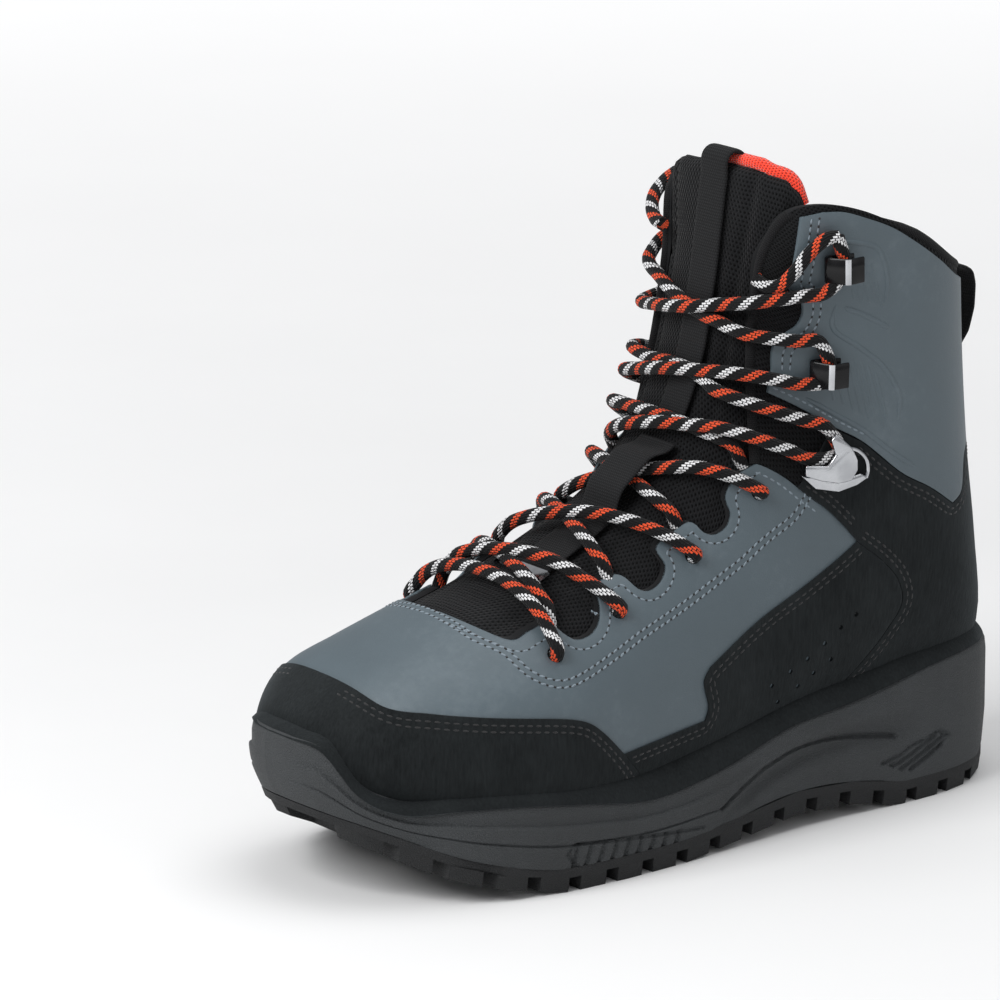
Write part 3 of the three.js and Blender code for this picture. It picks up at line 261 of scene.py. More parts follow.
def bare_last(at, turn):
    """Points of the last. Turn is 0 at the sole or heel and pi at the ridge, + on the outer side."""
    at, turn = np.broadcast_arrays(np.asarray(at, float), np.asarray(turn, float))
    wrapped = np.arctan2(np.sin(turn), np.cos(turn))
    low = np.abs(wrapped) < np.pi / 2
    outside = wrapped >= 0
    high = np.where(outside, last["outer_square"](at), last["inner_square"](at))
    square = 2 / np.where(low, last["low_square"](at), high)
    waist = last["waist"](at)
    along = -np.cos(wrapped)
    bow = np.sign(along) * np.abs(along) ** square
    share = waist + bow * np.where(low, waist, 1 - waist)
    half = np.where(outside, last["outer"](at), last["inner"](at)) * BALL_WIDTH
    side = np.sign(wrapped) * half * np.abs(np.sin(wrapped)) ** square
    back, front = last["back_x"](at), last["front_x"](at)
    floor, crown = last["back_rise"](at), last["front_rise"](at)
    return np.stack([
        (back + (front - back) * share) * LENGTH - HEEL_SEAT,
        side + last["shift"](at) * BALL_WIDTH,
        rise(floor + (crown - floor) * share),
    ], -1)


def last_frame(at, turn):
    """Places, outward normals and ways along the fan."""
    step = 0.001
    at, turn = np.broadcast_arrays(np.asarray(at, float), np.asarray(turn, float))
    along = bare_last(at + step, turn) - bare_last(at - step, turn)
    round_way = bare_last(at, turn + step) - bare_last(at, turn - step)
    return bare_last(at, turn), unit(np.cross(along, round_way)), unit(along)


def on_last(at, turn, off):
    place, normal, _ = last_frame(at, turn)
    return place + normal * np.asarray(off, float)[..., None]


def ease(value, low, high):
    """0 up to low, 1 from high on, and a smooth step between them."""
    t = np.clip((value - low) / (high - low), 0, 1)
    return t * t * (3 - 2 * t)


def bell(value, middle, width):
    """1 at the middle, falling away to both sides."""
    return np.exp(-(((value - middle) / width) ** 2))


# Mesh tools
SIDE_START = 0.2


def link(name, mesh):
    piece = bpy.data.objects.new(name, mesh)
    bpy.context.scene.collection.objects.link(piece)
    return piece


def made(name, points, faces, corners=None):
    """A mesh object in the row frame, with a UV for each face corner."""
    mesh = bpy.data.meshes.new(name)
    mesh.from_pydata([tuple(map(float, p)) for p in points], [], [list(map(int, f)) for f in faces])
    if corners is not None:
        layer = mesh.uv_layers.new(name="UVMap")
        layer.data.foreach_set("uv", np.asarray(corners, float).ravel())
    mesh.update()
    return link(name, mesh)


def grid(name, rows, closed=False, capped=False):
    """A sheet or tube through rows of points, its UVs in metres along and across."""
    rows = np.asarray(rows, float)
    count, width = rows.shape[:2]
    across = np.linalg.norm(np.roll(rows, -1, 1) - rows, axis=2).mean(0)
    down = np.linalg.norm(np.diff(rows, axis=0), axis=2).mean(1)
    u = np.concatenate([[0], np.cumsum(across)])
    v = np.concatenate([[0], np.cumsum(down)])
    cells = width if closed else width - 1
    r, c = (a.ravel() for a in np.meshgrid(np.arange(count - 1), np.arange(cells), indexing="ij"))
    after = (c + 1) % width
    faces = np.stack([r * width + c, r * width + after, (r + 1) * width + after, (r + 1) * width + c], 1)
    corners = np.stack([
        np.stack([u[c], v[r]], 1), np.stack([u[c + 1], v[r]], 1),
        np.stack([u[c + 1], v[r + 1]], 1), np.stack([u[c], v[r + 1]], 1),
    ], 1).reshape(-1, 2)
    faces = faces.tolist()
    if capped:
        faces.append(list(range(width))[::-1])
        faces.append([(count - 1) * width + i for i in range(width)])
        corners = np.concatenate([
            corners, np.stack([u[:width][::-1], np.full(width, v[0])], 1),
            np.stack([u[:width], np.full(width, v[-1])], 1),
        ])
    piece = made(name, rows.reshape(-1, 3), faces, corners)
    outward(piece)
    return piece


def outward(piece):
    """Turns a closed piece's faces out."""
    work = bmesh.new()
    work.from_mesh(piece.data)
    bmesh.ops.recalc_face_normals(work, faces=work.faces)
    work.to_mesh(piece.data)
    work.free()


def active(piece):
    bpy.ops.object.select_all(action="DESELECT")
    piece.select_set(True)
    bpy.context.view_layer.objects.active = piece


def modify(piece, kind, **settings):
    """Adds a modifier and applies it."""
    modifier = piece.modifiers.new(kind.lower(), kind)
    for key, value in settings.items():
        setattr(modifier, key, value)
    active(piece)
    bpy.ops.object.modifier_apply(modifier=modifier.name)


def cut(piece, tool, how="DIFFERENCE"):
    modify(piece, "BOOLEAN", object=tool, operation=how, solver="MANIFOLD")
    bpy.data.objects.remove(tool)


def smooth(piece, degrees=35):
    piece.data.shade_smooth()
    piece.data.set_sharp_from_angle(angle=math.radians(degrees))


def weld(piece, distance, flatten=None):
    """Joins points that lie together, and faces that lie within an angle of one another."""
    active(piece)
    bpy.ops.object.mode_set(mode="EDIT")
    bpy.ops.mesh.select_all(action="SELECT")
    bpy.ops.mesh.remove_doubles(threshold=distance)
    if flatten:
        bpy.ops.mesh.dissolve_limited(angle_limit=flatten)
    bpy.ops.object.mode_set(mode="OBJECT")


def drill(place, normal, radius, depth, sides):
    """A round cutter that stands on a surface."""
    bpy.ops.mesh.primitive_cylinder_add(vertices=sides, radius=radius, depth=depth)
    tool = bpy.context.active_object
    way = Vector(normal).to_track_quat("Z", "Y").to_matrix().to_4x4()
    tool.data.transform(Matrix.Translation(Vector(place)) @ way)
    return tool


def tree_of(piece):
    """A mesh as a tree that rays can be cast at."""
    return BVHTree.FromPolygons(
        [v.co for v in piece.data.vertices], [p.vertices for p in piece.data.polygons]
    )


def from_side(tree, x, z, side):
    """Where a level ray from one side of the boot meets a surface, and the surface's normal there."""
    place, normal, _, _ = tree.ray_cast(Vector((x, side * SIDE_START, z)), Vector((0, -side, 0)))
    return place, normal


def joined(name, pieces):
    bpy.ops.object.select_all(action="DESELECT")
    for piece in pieces:
        piece.select_set(True)
    bpy.context.view_layer.objects.active = pieces[0]
    if len(pieces) > 1:
        bpy.ops.object.join()
    pieces[0].name = name
    pieces[0].data.name = name
    return pieces[0]


def through_points(points, step, corners=()):
    """A rounded line through points, except where they are corners, at even steps."""
    points = [np.asarray(p, float) for p in points]
    breaks = [0, *sorted(corners), len(points) - 1]
    found = [points[0]]
    for first, final in zip(breaks, breaks[1:]):
        part = points[first:final + 1]
        for i in range(len(part) - 1):
            p1, p2 = part[i], part[i + 1]
            p0 = part[i - 1] if i else 2 * p1 - p2
            p3 = part[i + 2] if i + 2 < len(part) else 2 * p2 - p1
            count = max(1, round(float(np.linalg.norm(p2 - p1)) / step))
            knots = np.cumsum([0, *(max(float(np.linalg.norm(b - a)), 1e-9) ** 0.5
                                    for a, b in ((p0, p1), (p1, p2), (p2, p3)))])
            for k in range(1, count + 1):
                t = knots[1] + (knots[2] - knots[1]) * k / count
                a1 = p0 + (p1 - p0) * (t - knots[0]) / (knots[1] - knots[0])
                a2 = p1 + (p2 - p1) * (t - knots[1]) / (knots[2] - knots[1])
                a3 = p2 + (p3 - p2) * (t - knots[2]) / (knots[3] - knots[2])
                b1 = a1 + (a2 - a1) * (t - knots[0]) / (knots[2] - knots[0])
                b2 = a2 + (a3 - a2) * (t - knots[1]) / (knots[3] - knots[1])
                found.append(b1 + (b2 - b1) * (t - knots[1]) / (knots[2] - knots[1]))
    return np.array(found)


def tube(name, path, radius, sides=12, squash=1.0, out=None):
    """A round or flattened tube along a line, its UVs in metres. Out is the way its thin side faces."""
    path = np.asarray(path, float)
    radius = np.broadcast_to(np.asarray(radius, float), len(path))
    along = unit(np.gradient(path, axis=0))
    if out is None:
        guide = np.array([0.0, 0, 1]) if abs(along[0][2]) < 0.9 else np.array([1.0, 0, 0])
        ways = []
        for way in along:
            guide = guide - way * (guide @ way)
            guide /= np.linalg.norm(guide)
            ways.append(guide)
        out = np.array(ways)
    out = unit(out - along * np.sum(out * along, axis=1, keepdims=True))
    across = np.cross(along, out)
    turns = 2 * np.pi * np.arange(sides) / sides
    rows = (
        path[:, None] + radius[:, None, None] * (
            np.cos(turns)[None, :, None] * across[:, None]
            + squash * np.sin(turns)[None, :, None] * out[:, None]
        )
    )
    piece = grid(name, rows, closed=True, capped=True)
    smooth(piece, 60)
    return piece


def side_prism(points, low=-BALL_WIDTH, high=BALL_WIDTH):
    """A side view outline in metres, drawn through the boot between two widths."""
    count = len(points)
    near = [(x, low, z) for x, z in points]
    far = [(x, high, z) for x, z in points]
    faces = [list(range(count)), [2 * count - 1 - i for i in range(count)]]
    faces += [[i, i + count, (i + 1) % count + count, (i + 1) % count] for i in range(count)]
    piece = made("prism", near + far, faces)
    outward(piece)
    return piece


# The last as a mesh
ALONG = 120
ROUND = 112
CLOSER = 1.15  # the sections lie closer together at the toe
LAST_TOP = 1.1
EVEN = 1.22


def even_turns(count, first=-np.pi):
    """Turns round a section, spaced so that the points lie about evenly on it."""
    s = first + 2 * np.pi * np.arange(count) / count
    side = np.sign(np.sin(s)) * np.abs(np.sin(s)) ** EVEN
    up = np.sign(np.cos(s)) * np.abs(np.cos(s)) ** EVEN
    return np.arctan2(side, up)


def last_rows(off):
    at = (np.arange(ALONG + 1) / ALONG) ** CLOSER * LAST_TOP
    return on_last(at[:, None], even_turns(ROUND)[None, :], off)


def last_body(off):
    return grid("body", last_rows(off), closed=True, capped=True)


def last_tree(off):
    """The last's surface at a distance, for rays."""
    body = last_body(off)
    tree = tree_of(body)
    bpy.data.objects.remove(body)
    return tree


def shell(name, low, high):
    """The layer of the boot between two distances from the last."""
    return grid(name, np.concatenate([last_rows(high), last_rows(low)[::-1]]), closed=True, capped=True)


# The lace's route
def mirror(stop):
    return (stop[0] + stop[2], 360 - stop[1], *stop[2:])


def under(i):
    at, turn, slip, leave = HOLES[i]
    return (at + leave, turn + UNDER_TURN, slip, ON_TONGUE)


def over(i):
    at, turn, slip, _ = HOLES[i]
    return (at, turn, slip, ON_UPPER)


def hooked(stop):
    return (*stop[:3], ON_OVERLAY)


def lace_point(at, turn, off):
    return on_last(at, math.radians(turn), off)


def strand(start, end, bed, ride=0.0, steps=18):
    """The middle of a strand drawn straight over the tongue from one stop to another."""
    first = lace_point(start[0], start[1], start[3])
    final = lace_point(end[0], end[1], end[3])
    ways = last_frame(np.array([start[0], end[0]]), np.radians([start[1], end[1]]))[1]
    across = np.cross(final - first, ways.sum(0))
    across /= np.linalg.norm(across)
    share = np.linspace(0, 1, steps + 1)
    turn = start[1] + (end[1] - start[1]) * share

    def near(stop):
        hold = LEDGE_TURN - min(stop[1], 360 - stop[1])
        t = np.clip((np.abs(turn - stop[1]) - hold) / LEDGE_SPAN, 0, 1)
        return 1 - t * t * (3 - 2 * t)

    hump = ride * bell(turn, 180, RIDE_SPAN)
    off = bed + hump + (start[3] - bed) * near(start) + (end[3] - bed) * near(end)
    low = np.full(len(turn), min(start[0], end[0]) - 0.1)
    high = np.full(len(turn), max(start[0], end[0]) + 0.1)

    def side(at):
        return (on_last(at, np.radians(turn), off) - first) @ across

    rising = side(high) > side(low)
    for _ in range(26):
        middle = (low + high) / 2
        up = (side(middle) > 0) == rising
        high = np.where(up, middle, high)
        low = np.where(up, low, middle)
    return list(on_last((low + high) / 2, np.radians(turn), off))


# Materials: shared effects are node groups
class Nodes:
    """Adds nodes to a tree and links their inputs."""

    def __init__(self, tree):
        self.tree = tree

    def add(self, kind, inputs=None, **settings):
        node = self.tree.nodes.new(kind)
        for key, value in settings.items():
            setattr(node, key, value)
        for key, value in (inputs or {}).items():
            self.put(node.inputs[key], value)
        return node

    def put(self, socket, value):
        if isinstance(value, bpy.types.NodeSocket):
            self.tree.links.new(value, socket)
        else:
            socket.default_value = value

    def math(self, operation, *values):
        node = self.add("ShaderNodeMath", operation=operation)
        for socket, value in zip(node.inputs, values):
            self.put(socket, value)
        return node.outputs[0]

    def noise(self, place, scale, detail=3.0, rough=0.5):
        node = self.add("ShaderNodeTexNoise", {
            "Vector": place, "Scale": scale, "Detail": detail, "Roughness": rough,
        })
        return node.outputs["Fac"]

    def fit(self, value, low, high, to_low, to_high):
        node = self.add("ShaderNodeMapRange", {
            "Value": value, "From Min": low, "From Max": high, "To Min": to_low, "To Max": to_high,
        })
        return node.outputs[0]


def effect(name, inputs, outputs):
    """A node group with named inputs and outputs: the group, its nodes and its two ends."""
    tree = bpy.data.node_groups.new(name, "ShaderNodeTree")
    for label, kind, value in inputs:
        socket = tree.interface.new_socket(label, in_out="INPUT", socket_type=f"NodeSocket{kind}")
        if value is not None:
            socket.default_value = value
    for label, kind in outputs:
        tree.interface.new_socket(label, in_out="OUTPUT", socket_type=f"NodeSocket{kind}")
    nodes = Nodes(tree)
    source = nodes.add("NodeGroupInput").outputs
    sink = nodes.add("NodeGroupOutput").inputs
    return tree, nodes, source, sink


def make_grain():
    """Fine leather grain: pebbles between thin creases."""
    tree, n, source, sink = effect(
        "leather_grain", [("Place", "Vector", None), ("Scale", "Float", 1500.0)], [("Height", "Float")]
    )
    cells = n.add("ShaderNodeTexVoronoi", {"Vector": source["Place"], "Scale": source["Scale"]},
                  feature="DISTANCE_TO_EDGE").outputs["Distance"]
    pebble = n.fit(cells, 0.0, 0.18, 0.0, 1.0)
    pores = n.noise(source["Place"], source["Scale"], 2.0)
    n.put(sink["Height"], n.math("ADD", n.math("MULTIPLY", pebble, 0.6), n.math("MULTIPLY", pores, 0.5)))
    return tree


def make_nap():
    """Brushed nap: short streaks down the boot and cloudy patches where it lies another way."""
    tree, n, source, sink = effect(
        "brushed_nap", [("Place", "Vector", None), ("Scale", "Float", 900.0)],
        [("Height", "Float"), ("Shade", "Float")],
    )
    pulled = n.add("ShaderNodeVectorMath", {0: source["Place"], 1: (1.0, 1.0, 0.16)},
                   operation="MULTIPLY").outputs[0]
    streaks = n.noise(pulled, source["Scale"], 4.0, 0.65)
    patches = n.noise(source["Place"], n.math("MULTIPLY", source["Scale"], 0.05), 3.0, 0.6)
    n.put(sink["Height"], streaks)
    shade = n.math("ADD", n.math("MULTIPLY", streaks, 0.7), n.math("MULTIPLY", patches, 0.5))
    n.put(sink["Shade"], n.fit(shade, 0.35, 0.85, 0.0, 1.0))
    return tree


def make_knit():
    """A knitted mesh: rows of loops, every other row set over by half, with a hole in each."""
    tree, n, source, sink = effect(
        "knit", [("Place", "Vector", None), ("Pitch", "Float", 0.0016)],
        [("Height", "Float"), ("Hole", "Float")],
    )
    parts = n.add("ShaderNodeSeparateXYZ", {0: source["Place"]}).outputs
    across = n.math("DIVIDE", parts["X"], source["Pitch"])
    down = n.math("DIVIDE", parts["Y"], source["Pitch"])
    row = n.math("FLOOR", down)
    shifted = n.math("ADD", across, n.math("MULTIPLY", row, 0.5))
    x = n.math("SUBTRACT", n.math("FRACT", shifted), 0.5)
    y = n.math("SUBTRACT", n.math("FRACT", down), 0.5)
    away = n.math("SQRT", n.math("ADD", n.math("MULTIPLY", x, x), n.math("MULTIPLY", y, y)))
    n.put(sink["Hole"], n.fit(away, 0.16, 0.30, 1.0, 0.0))
    n.put(sink["Height"], n.fit(away, 0.10, 0.50, 0.0, 1.0))
    return tree


def make_ribs():
    """Woven tape: fine ribs across it, each broken into the threads of the weave."""
    tree, n, source, sink = effect(
        "woven_ribs", [("Place", "Vector", None), ("Pitch", "Float", 0.0011)], [("Height", "Float")]
    )
    parts = n.add("ShaderNodeSeparateXYZ", {0: source["Place"]}).outputs
    down = n.math("DIVIDE", parts["Y"], source["Pitch"])
    across = n.math("DIVIDE", parts["X"], source["Pitch"])
    row = n.math("FLOOR", down)
    rib = n.math("PINGPONG", down, 0.5)
    thread = n.math("PINGPONG", n.math("ADD", across, n.math("MULTIPLY", row, 0.5)), 0.5)
    n.put(sink["Height"], n.math("ADD", rib, n.math("MULTIPLY", thread, 0.8)))
    return tree


def make_braid():
    """A round braid: strands side by side, with pairs of red and of white flecks that wind round it."""
    tree, n, source, sink = effect(
        "braid",
        [("Place", "Vector", None), ("Round", "Float", 0.0155), ("Cycle", "Float", 0.0176),
         ("Fleck", "Float", 0.0016), ("Gap", "Float", 0.0004)],
        [("Red", "Float"), ("White", "Float"), ("Height", "Float")],
    )
    parts = n.add("ShaderNodeSeparateXYZ", {0: source["Place"]}).outputs
    turn = n.math("MULTIPLY", n.math("DIVIDE", parts["X"], source["Round"]), 16.0)
    strand_number = n.math("FLOOR", turn)
    step = n.math("MULTIPLY", strand_number, n.math("DIVIDE", source["Cycle"], 16.0))
    along = n.math("SUBTRACT", parts["Y"], step)
    across = n.math("PINGPONG", turn, 0.5)
    inside = n.math("GREATER_THAN", across, 0.11)
    double = n.math("ADD", source["Fleck"], source["Gap"])
    for name, shift in (("Red", 0.0), ("White", 0.5)):
        moved = n.math("ADD", along, n.math("MULTIPLY", source["Cycle"], shift))
        at = n.math("FLOORED_MODULO", moved, source["Cycle"])
        pair = n.math("LESS_THAN", at, n.math("ADD", double, source["Fleck"]))
        fleck = n.math("LESS_THAN", n.math("FLOORED_MODULO", at, double), source["Fleck"])
        n.put(sink[name], n.math("MULTIPLY", n.math("MULTIPLY", pair, fleck), inside))
    bump = n.math("PINGPONG", n.math("DIVIDE", along, double), 0.5)
    strands = n.fit(across, 0.0, 0.4, 0.0, 1.0)
    n.put(sink["Height"], n.math("MULTIPLY", strands, n.fit(bump, 0.0, 0.3, 0.3, 1.0)))
    return tree


def make_wear():
    """Slow changes of shade and gloss, with a few faint rubbed marks."""
    tree, n, source, sink = effect(
        "wear", [("Place", "Vector", None), ("Scale", "Float", 30.0)],
        [("Shade", "Float"), ("Rub", "Float")],
    )
    cloud = n.noise(source["Place"], source["Scale"], 4.0, 0.6)
    fine = n.noise(source["Place"], n.math("MULTIPLY", source["Scale"], 14.0), 3.0, 0.6)
    n.put(sink["Shade"], n.fit(cloud, 0.3, 0.7, 0.0, 1.0))
    n.put(sink["Rub"], n.fit(n.math("ADD", cloud, n.math("MULTIPLY", fine, 0.6)), 0.86, 1.05, 0.0, 1.0))
    return tree


GRAIN = make_grain()
NAP = make_nap()
KNIT = make_knit()
RIBS = make_ribs()
BRAID = make_braid()
WEAR = make_wear()


class Look:
    """One material: its Principled BSDF, its coordinates and the shared effects put into it."""

    def __init__(self, name, rough, metal=0.0, **others):
        self.material = bpy.data.materials.new(name)
        self.material.use_nodes = True
        tree = self.material.node_tree
        tree.nodes.clear()
        self.n = Nodes(tree)
        self.face = self.n.add("ShaderNodeBsdfPrincipled", {"Roughness": rough, "Metallic": metal})
        for key, value in others.items():
            self.face.inputs[key.replace("_", " ")].default_value = value
        out = self.n.add("ShaderNodeOutputMaterial")
        tree.links.new(self.face.outputs["BSDF"], out.inputs["Surface"])
        where = self.n.add("ShaderNodeTexCoord").outputs
        self.place = where["Object"]
        self.flat = where["UV"]
        self.normal = None

    def use(self, tree, **inputs):
        node = self.n.add("ShaderNodeGroup", node_tree=tree)
        for key, value in inputs.items():
            self.n.put(node.inputs[key], value)
        return node.outputs

    def mix(self, share, a, b):
        node = self.n.add("ShaderNodeMix", data_type="RGBA")
        self.n.put(node.inputs["Factor"], share)
        self.n.put(node.inputs["A"], (*a, 1) if isinstance(a, tuple) else a)
        self.n.put(node.inputs["B"], (*b, 1) if isinstance(b, tuple) else b)
        return node.outputs["Result"]

    def bump(self, height, distance, strength=1.0):
        node = self.n.add("ShaderNodeBump", {
            "Height": height, "Distance": distance, "Strength": strength,
        })
        if self.normal is not None:
            self.n.put(node.inputs["Normal"], self.normal)
        self.normal = node.outputs["Normal"]
        self.n.put(self.face.inputs["Normal"], self.normal)

    def colour(self, value):
        self.n.put(self.face.inputs["Base Color"], (*value, 1) if isinstance(value, tuple) else value)

    def rough(self, share, low, high):
        self.n.put(self.face.inputs["Roughness"], self.n.fit(share, 0.0, 1.0, low, high))


def smooth_leather():
    """Blue-grey coated leather."""
    look = Look("grey_leather", 0.5, Specular_IOR_Level=0.45)
    wear = look.use(WEAR, Place=look.place, Scale=22.0)
    shade = look.mix(wear["Shade"], (0.071, 0.095, 0.110), (0.083, 0.110, 0.127))
    look.colour(look.mix(look.n.math("MULTIPLY", wear["Rub"], 0.12), shade, (0.2, 0.235, 0.26)))
    look.rough(wear["Shade"], 0.46, 0.56)
    grain = look.use(GRAIN, Place=look.place, Scale=1300.0)
    look.bump(grain["Height"], 0.00009, 0.55)
    return look.material


def nubuck():
    look = Look("black_nubuck", 0.9, Specular_IOR_Level=0.15, Sheen_Weight=0.12, Sheen_Roughness=0.5)
    look.face.inputs["Sheen Tint"].default_value = (0.6, 0.68, 0.72, 1)
    nap = look.use(NAP, Place=look.place, Scale=1100.0)
    look.colour(look.mix(nap["Shade"], (0.0028, 0.0036, 0.0040), (0.0125, 0.0150, 0.0160)))
    look.rough(nap["Shade"], 0.96, 0.78)
    look.bump(nap["Height"], 0.00022, 0.8)
    return look.material


def knit_mesh(name, thread, hole, pitch, sheen=0.06):
    look = Look(name, 0.92, Specular_IOR_Level=0.1, Sheen_Weight=sheen, Sheen_Roughness=0.45)
    knit = look.use(KNIT, Place=look.flat, Pitch=pitch)
    wear = look.use(WEAR, Place=look.place, Scale=35.0)
    lit = tuple(min(1.0, 1.5 * c) for c in thread)
    # The hole colour, darker than the thread, is painted shade inside the knit's holes.
    look.colour(look.mix(knit["Hole"], look.mix(wear["Shade"], thread, lit), hole))
    look.bump(knit["Height"], 0.0005, 0.9)
    return look.material


def tape(name, thread, lit, pitch=0.0011):
    look = Look(name, 0.85, Specular_IOR_Level=0.15, Sheen_Weight=0.04)
    ribs = look.use(RIBS, Place=look.flat, Pitch=pitch)
    # Colour follows the ribs' height: lit is a painted highlight on the rib tops, and the thread colour shows
    # as painted shade in the grooves.
    look.colour(look.mix(look.n.fit(ribs["Height"], 0.1, 0.8, 0.0, 1.0), thread, lit))
    look.bump(ribs["Height"], 0.0003, 0.9)
    return look.material


def lace_cord():
    look = Look("lace_braid", 0.75, Specular_IOR_Level=0.15, Sheen_Weight=0.05)
    braid = look.use(BRAID, Place=look.flat)
    fleck = look.mix(braid["Red"], (0.0055, 0.0055, 0.006), (0.74, 0.085, 0.028))
    look.colour(look.mix(braid["White"], fleck, (0.75, 0.75, 0.76)))
    look.bump(braid["Height"], 0.0004, 0.9)
    return look.material


def rubber(name, low, high, rough, grain=0.0003):
    look = Look(name, rough, Specular_IOR_Level=0.35)
    wear = look.use(WEAR, Place=look.place, Scale=26.0)
    look.colour(look.mix(wear["Shade"], low, high))
    look.rough(wear["Shade"], rough - 0.06, rough + 0.06)
    skin = look.use(GRAIN, Place=look.place, Scale=1050.0)
    look.bump(skin["Height"], grain, 1.0)
    return look.material


def painted_metal():
    look = Look("black_enamel", 0.16, 0.0, Specular_IOR_Level=0.22)
    wear = look.use(WEAR, Place=look.place, Scale=120.0)
    look.colour(look.mix(wear["Shade"], (0.003, 0.003, 0.0034), (0.007, 0.007, 0.008)))
    look.rough(wear["Shade"], 0.14, 0.26)
    return look.material


def polished_metal():
    look = Look("polished_steel", 0.16, 1.0)
    wear = look.use(WEAR, Place=look.place, Scale=90.0)
    look.colour(look.mix(wear["Shade"], (0.40, 0.41, 0.43), (0.58, 0.59, 0.61)))
    look.rough(wear["Shade"], 0.12, 0.26)
    look.bump(wear["Rub"], 0.00005, 0.5)
    return look.material


def thread(name, dark, lit):
    look = Look(name, 0.7, Specular_IOR_Level=0.4, Sheen_Weight=0.2)
    grain = look.use(GRAIN, Place=look.place, Scale=2600.0)
    # Colour follows the grain's height: the thread's own colour, darkened in the creases as painted shade and
    # lightened on the raised cells as painted highlight.
    look.colour(look.mix(grain["Height"], dark, lit))
    look.bump(grain["Height"], 0.0001, 0.6)
    return look.material


LEATHER = smooth_leather()
NUBUCK = nubuck()
# Each knit's second colour is painted shade in its holes.
MESH = knit_mesh("black_mesh", (0.0085, 0.0088, 0.0095), (0.001, 0.001, 0.0011), 0.0017)
PAD_MESH = knit_mesh("padding_mesh", (0.0075, 0.0078, 0.0085), (0.001, 0.001, 0.0011), 0.0012)
RED_KNIT = knit_mesh("red_knit", (0.80, 0.045, 0.022), (0.30, 0.012, 0.008), 0.0011, 0.4)
# The second colour of the binding and the tape is a painted highlight on the rib tops.
BINDING = tape("black_binding", (0.004, 0.004, 0.0045), (0.013, 0.013, 0.014), 0.0008)
TAPE = tape("black_tape", (0.004, 0.004, 0.0045), (0.016, 0.0165, 0.0175))
CORD = lace_cord()
SIDE_RUBBER = rubber("sole_rubber", (0.033, 0.036, 0.038), (0.045, 0.049, 0.052), 0.66)
TREAD_RUBBER = rubber("tread_rubber", (0.012, 0.0125, 0.0135), (0.020, 0.021, 0.022), 0.72)
ENAMEL = painted_metal()
STEEL = polished_metal()
# Each thread's first colour is darkened by painted shade in the grain's creases, and its second is lightened
# by painted highlight on the grain's tops.
BLUE_THREAD = thread("blue_grey_thread", (0.10, 0.13, 0.16), (0.24, 0.29, 0.33))
# Black thread for the nubuck's stitches; the same material paints the shade in the needle holes and pinholes.
BLACK_THREAD_AND_SHADE = thread("black_thread_and_shade", (0.003, 0.003, 0.0035), (0.013, 0.013, 0.014))
# Its second colour is painted shade in the knit's holes.
LINING = knit_mesh("lining_cloth", (0.045, 0.046, 0.050), (0.015, 0.015, 0.017), 0.0014)


def finish(piece, material, slot, *nodes):
    """Gives a piece its material and its body, and hides the CAD nodes that it stands for. Its slot is not
    used.
    """
    piece.data.materials.clear()
    piece.data.materials.append(material)
    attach(piece, "root")
    if nodes:
        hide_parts(*nodes)
    return piece


# Camera, light and floor
CAMERA_TURN = math.radians(37.278)
CAMERA_RISE = math.radians(15.009)
CAMERA_ROLL = 0.0124
CAMERA_AWAY = 2.0732
CAMERA_LENS = 203.57
CAMERA_AIM = Vector((0.098, 0.0, 0.100))
AIM_RIGHT = math.radians(1.7393)
AIM_DOWN = math.radians(0.5217)
SOFTBOXES = (
    ("key", (1.45, 0.1, 1.3), (0.1, 0, 0.1), (1.0, 1.0), 26),
    ("side", (-0.5, 1.8, 0.9), (0.05, 0, 0.1), (1.4, 0.9), 2.5),
    ("above", (-0.2, 0.1, 1.9), (0.05, 0, 0.1), (1.4, 1.4), 14),
)
SKY = (0.93, 0.94, 0.96, 1)
SKY_STRENGTH = 0.45
# The floor's painted light: an emission that rises from nothing at GLOW_FROM to its full strength at GLOW_TO
# metres from the middle, so the floor grows brighter away from the boot.
GLOW_FROM = 0.35
GLOW_TO = 2.4
FLOOR_PAINTED_GLOW = 0.70


def build_camera():
    back = Vector((
        math.sin(CAMERA_TURN) * math.cos(CAMERA_RISE), math.cos(CAMERA_TURN) * math.cos(CAMERA_RISE),
        math.sin(CAMERA_RISE),
    ))
    level = Vector((-math.cos(CAMERA_TURN), math.sin(CAMERA_TURN), 0))
    plumb = back.cross(level)
    right = level * math.cos(CAMERA_ROLL) + plumb * math.sin(CAMERA_ROLL)
    up = plumb * math.cos(CAMERA_ROLL) - level * math.sin(CAMERA_ROLL)
    ahead = -back
    right, ahead = (
        right * math.cos(AIM_RIGHT) + ahead * math.sin(AIM_RIGHT),
        ahead * math.cos(AIM_RIGHT) - right * math.sin(AIM_RIGHT),
    )
    up, ahead = (
        up * math.cos(AIM_DOWN) - ahead * math.sin(AIM_DOWN),
        ahead * math.cos(AIM_DOWN) + up * math.sin(AIM_DOWN),
    )
    data = bpy.data.cameras.new("camera")
    data.lens = CAMERA_LENS
    data.sensor_width = 36
    data.clip_start = 0.05
    data.clip_end = 50
    camera = bpy.data.objects.new("camera", data)
    bpy.context.scene.collection.objects.link(camera)
    place = CAMERA_AIM + back * CAMERA_AWAY
    camera.matrix_world = Matrix((
        (right.x, up.x, -ahead.x, place.x), (right.y, up.y, -ahead.y, place.y),
        (right.z, up.z, -ahead.z, place.z), (0, 0, 0, 1),
    ))
    bpy.context.scene.camera = camera


def softbox(name, place, aim, size, power):
    data = bpy.data.lights.new(name, "AREA")
    data.shape = "RECTANGLE"
    data.size, data.size_y = size
    data.energy = power
    light = bpy.data.objects.new(name, data)
    bpy.context.scene.collection.objects.link(light)
    light.location = place
    light.rotation_mode = "QUATERNION"
    light.rotation_quaternion = (Vector(aim) - Vector(place)).to_track_quat("-Z", "Y")


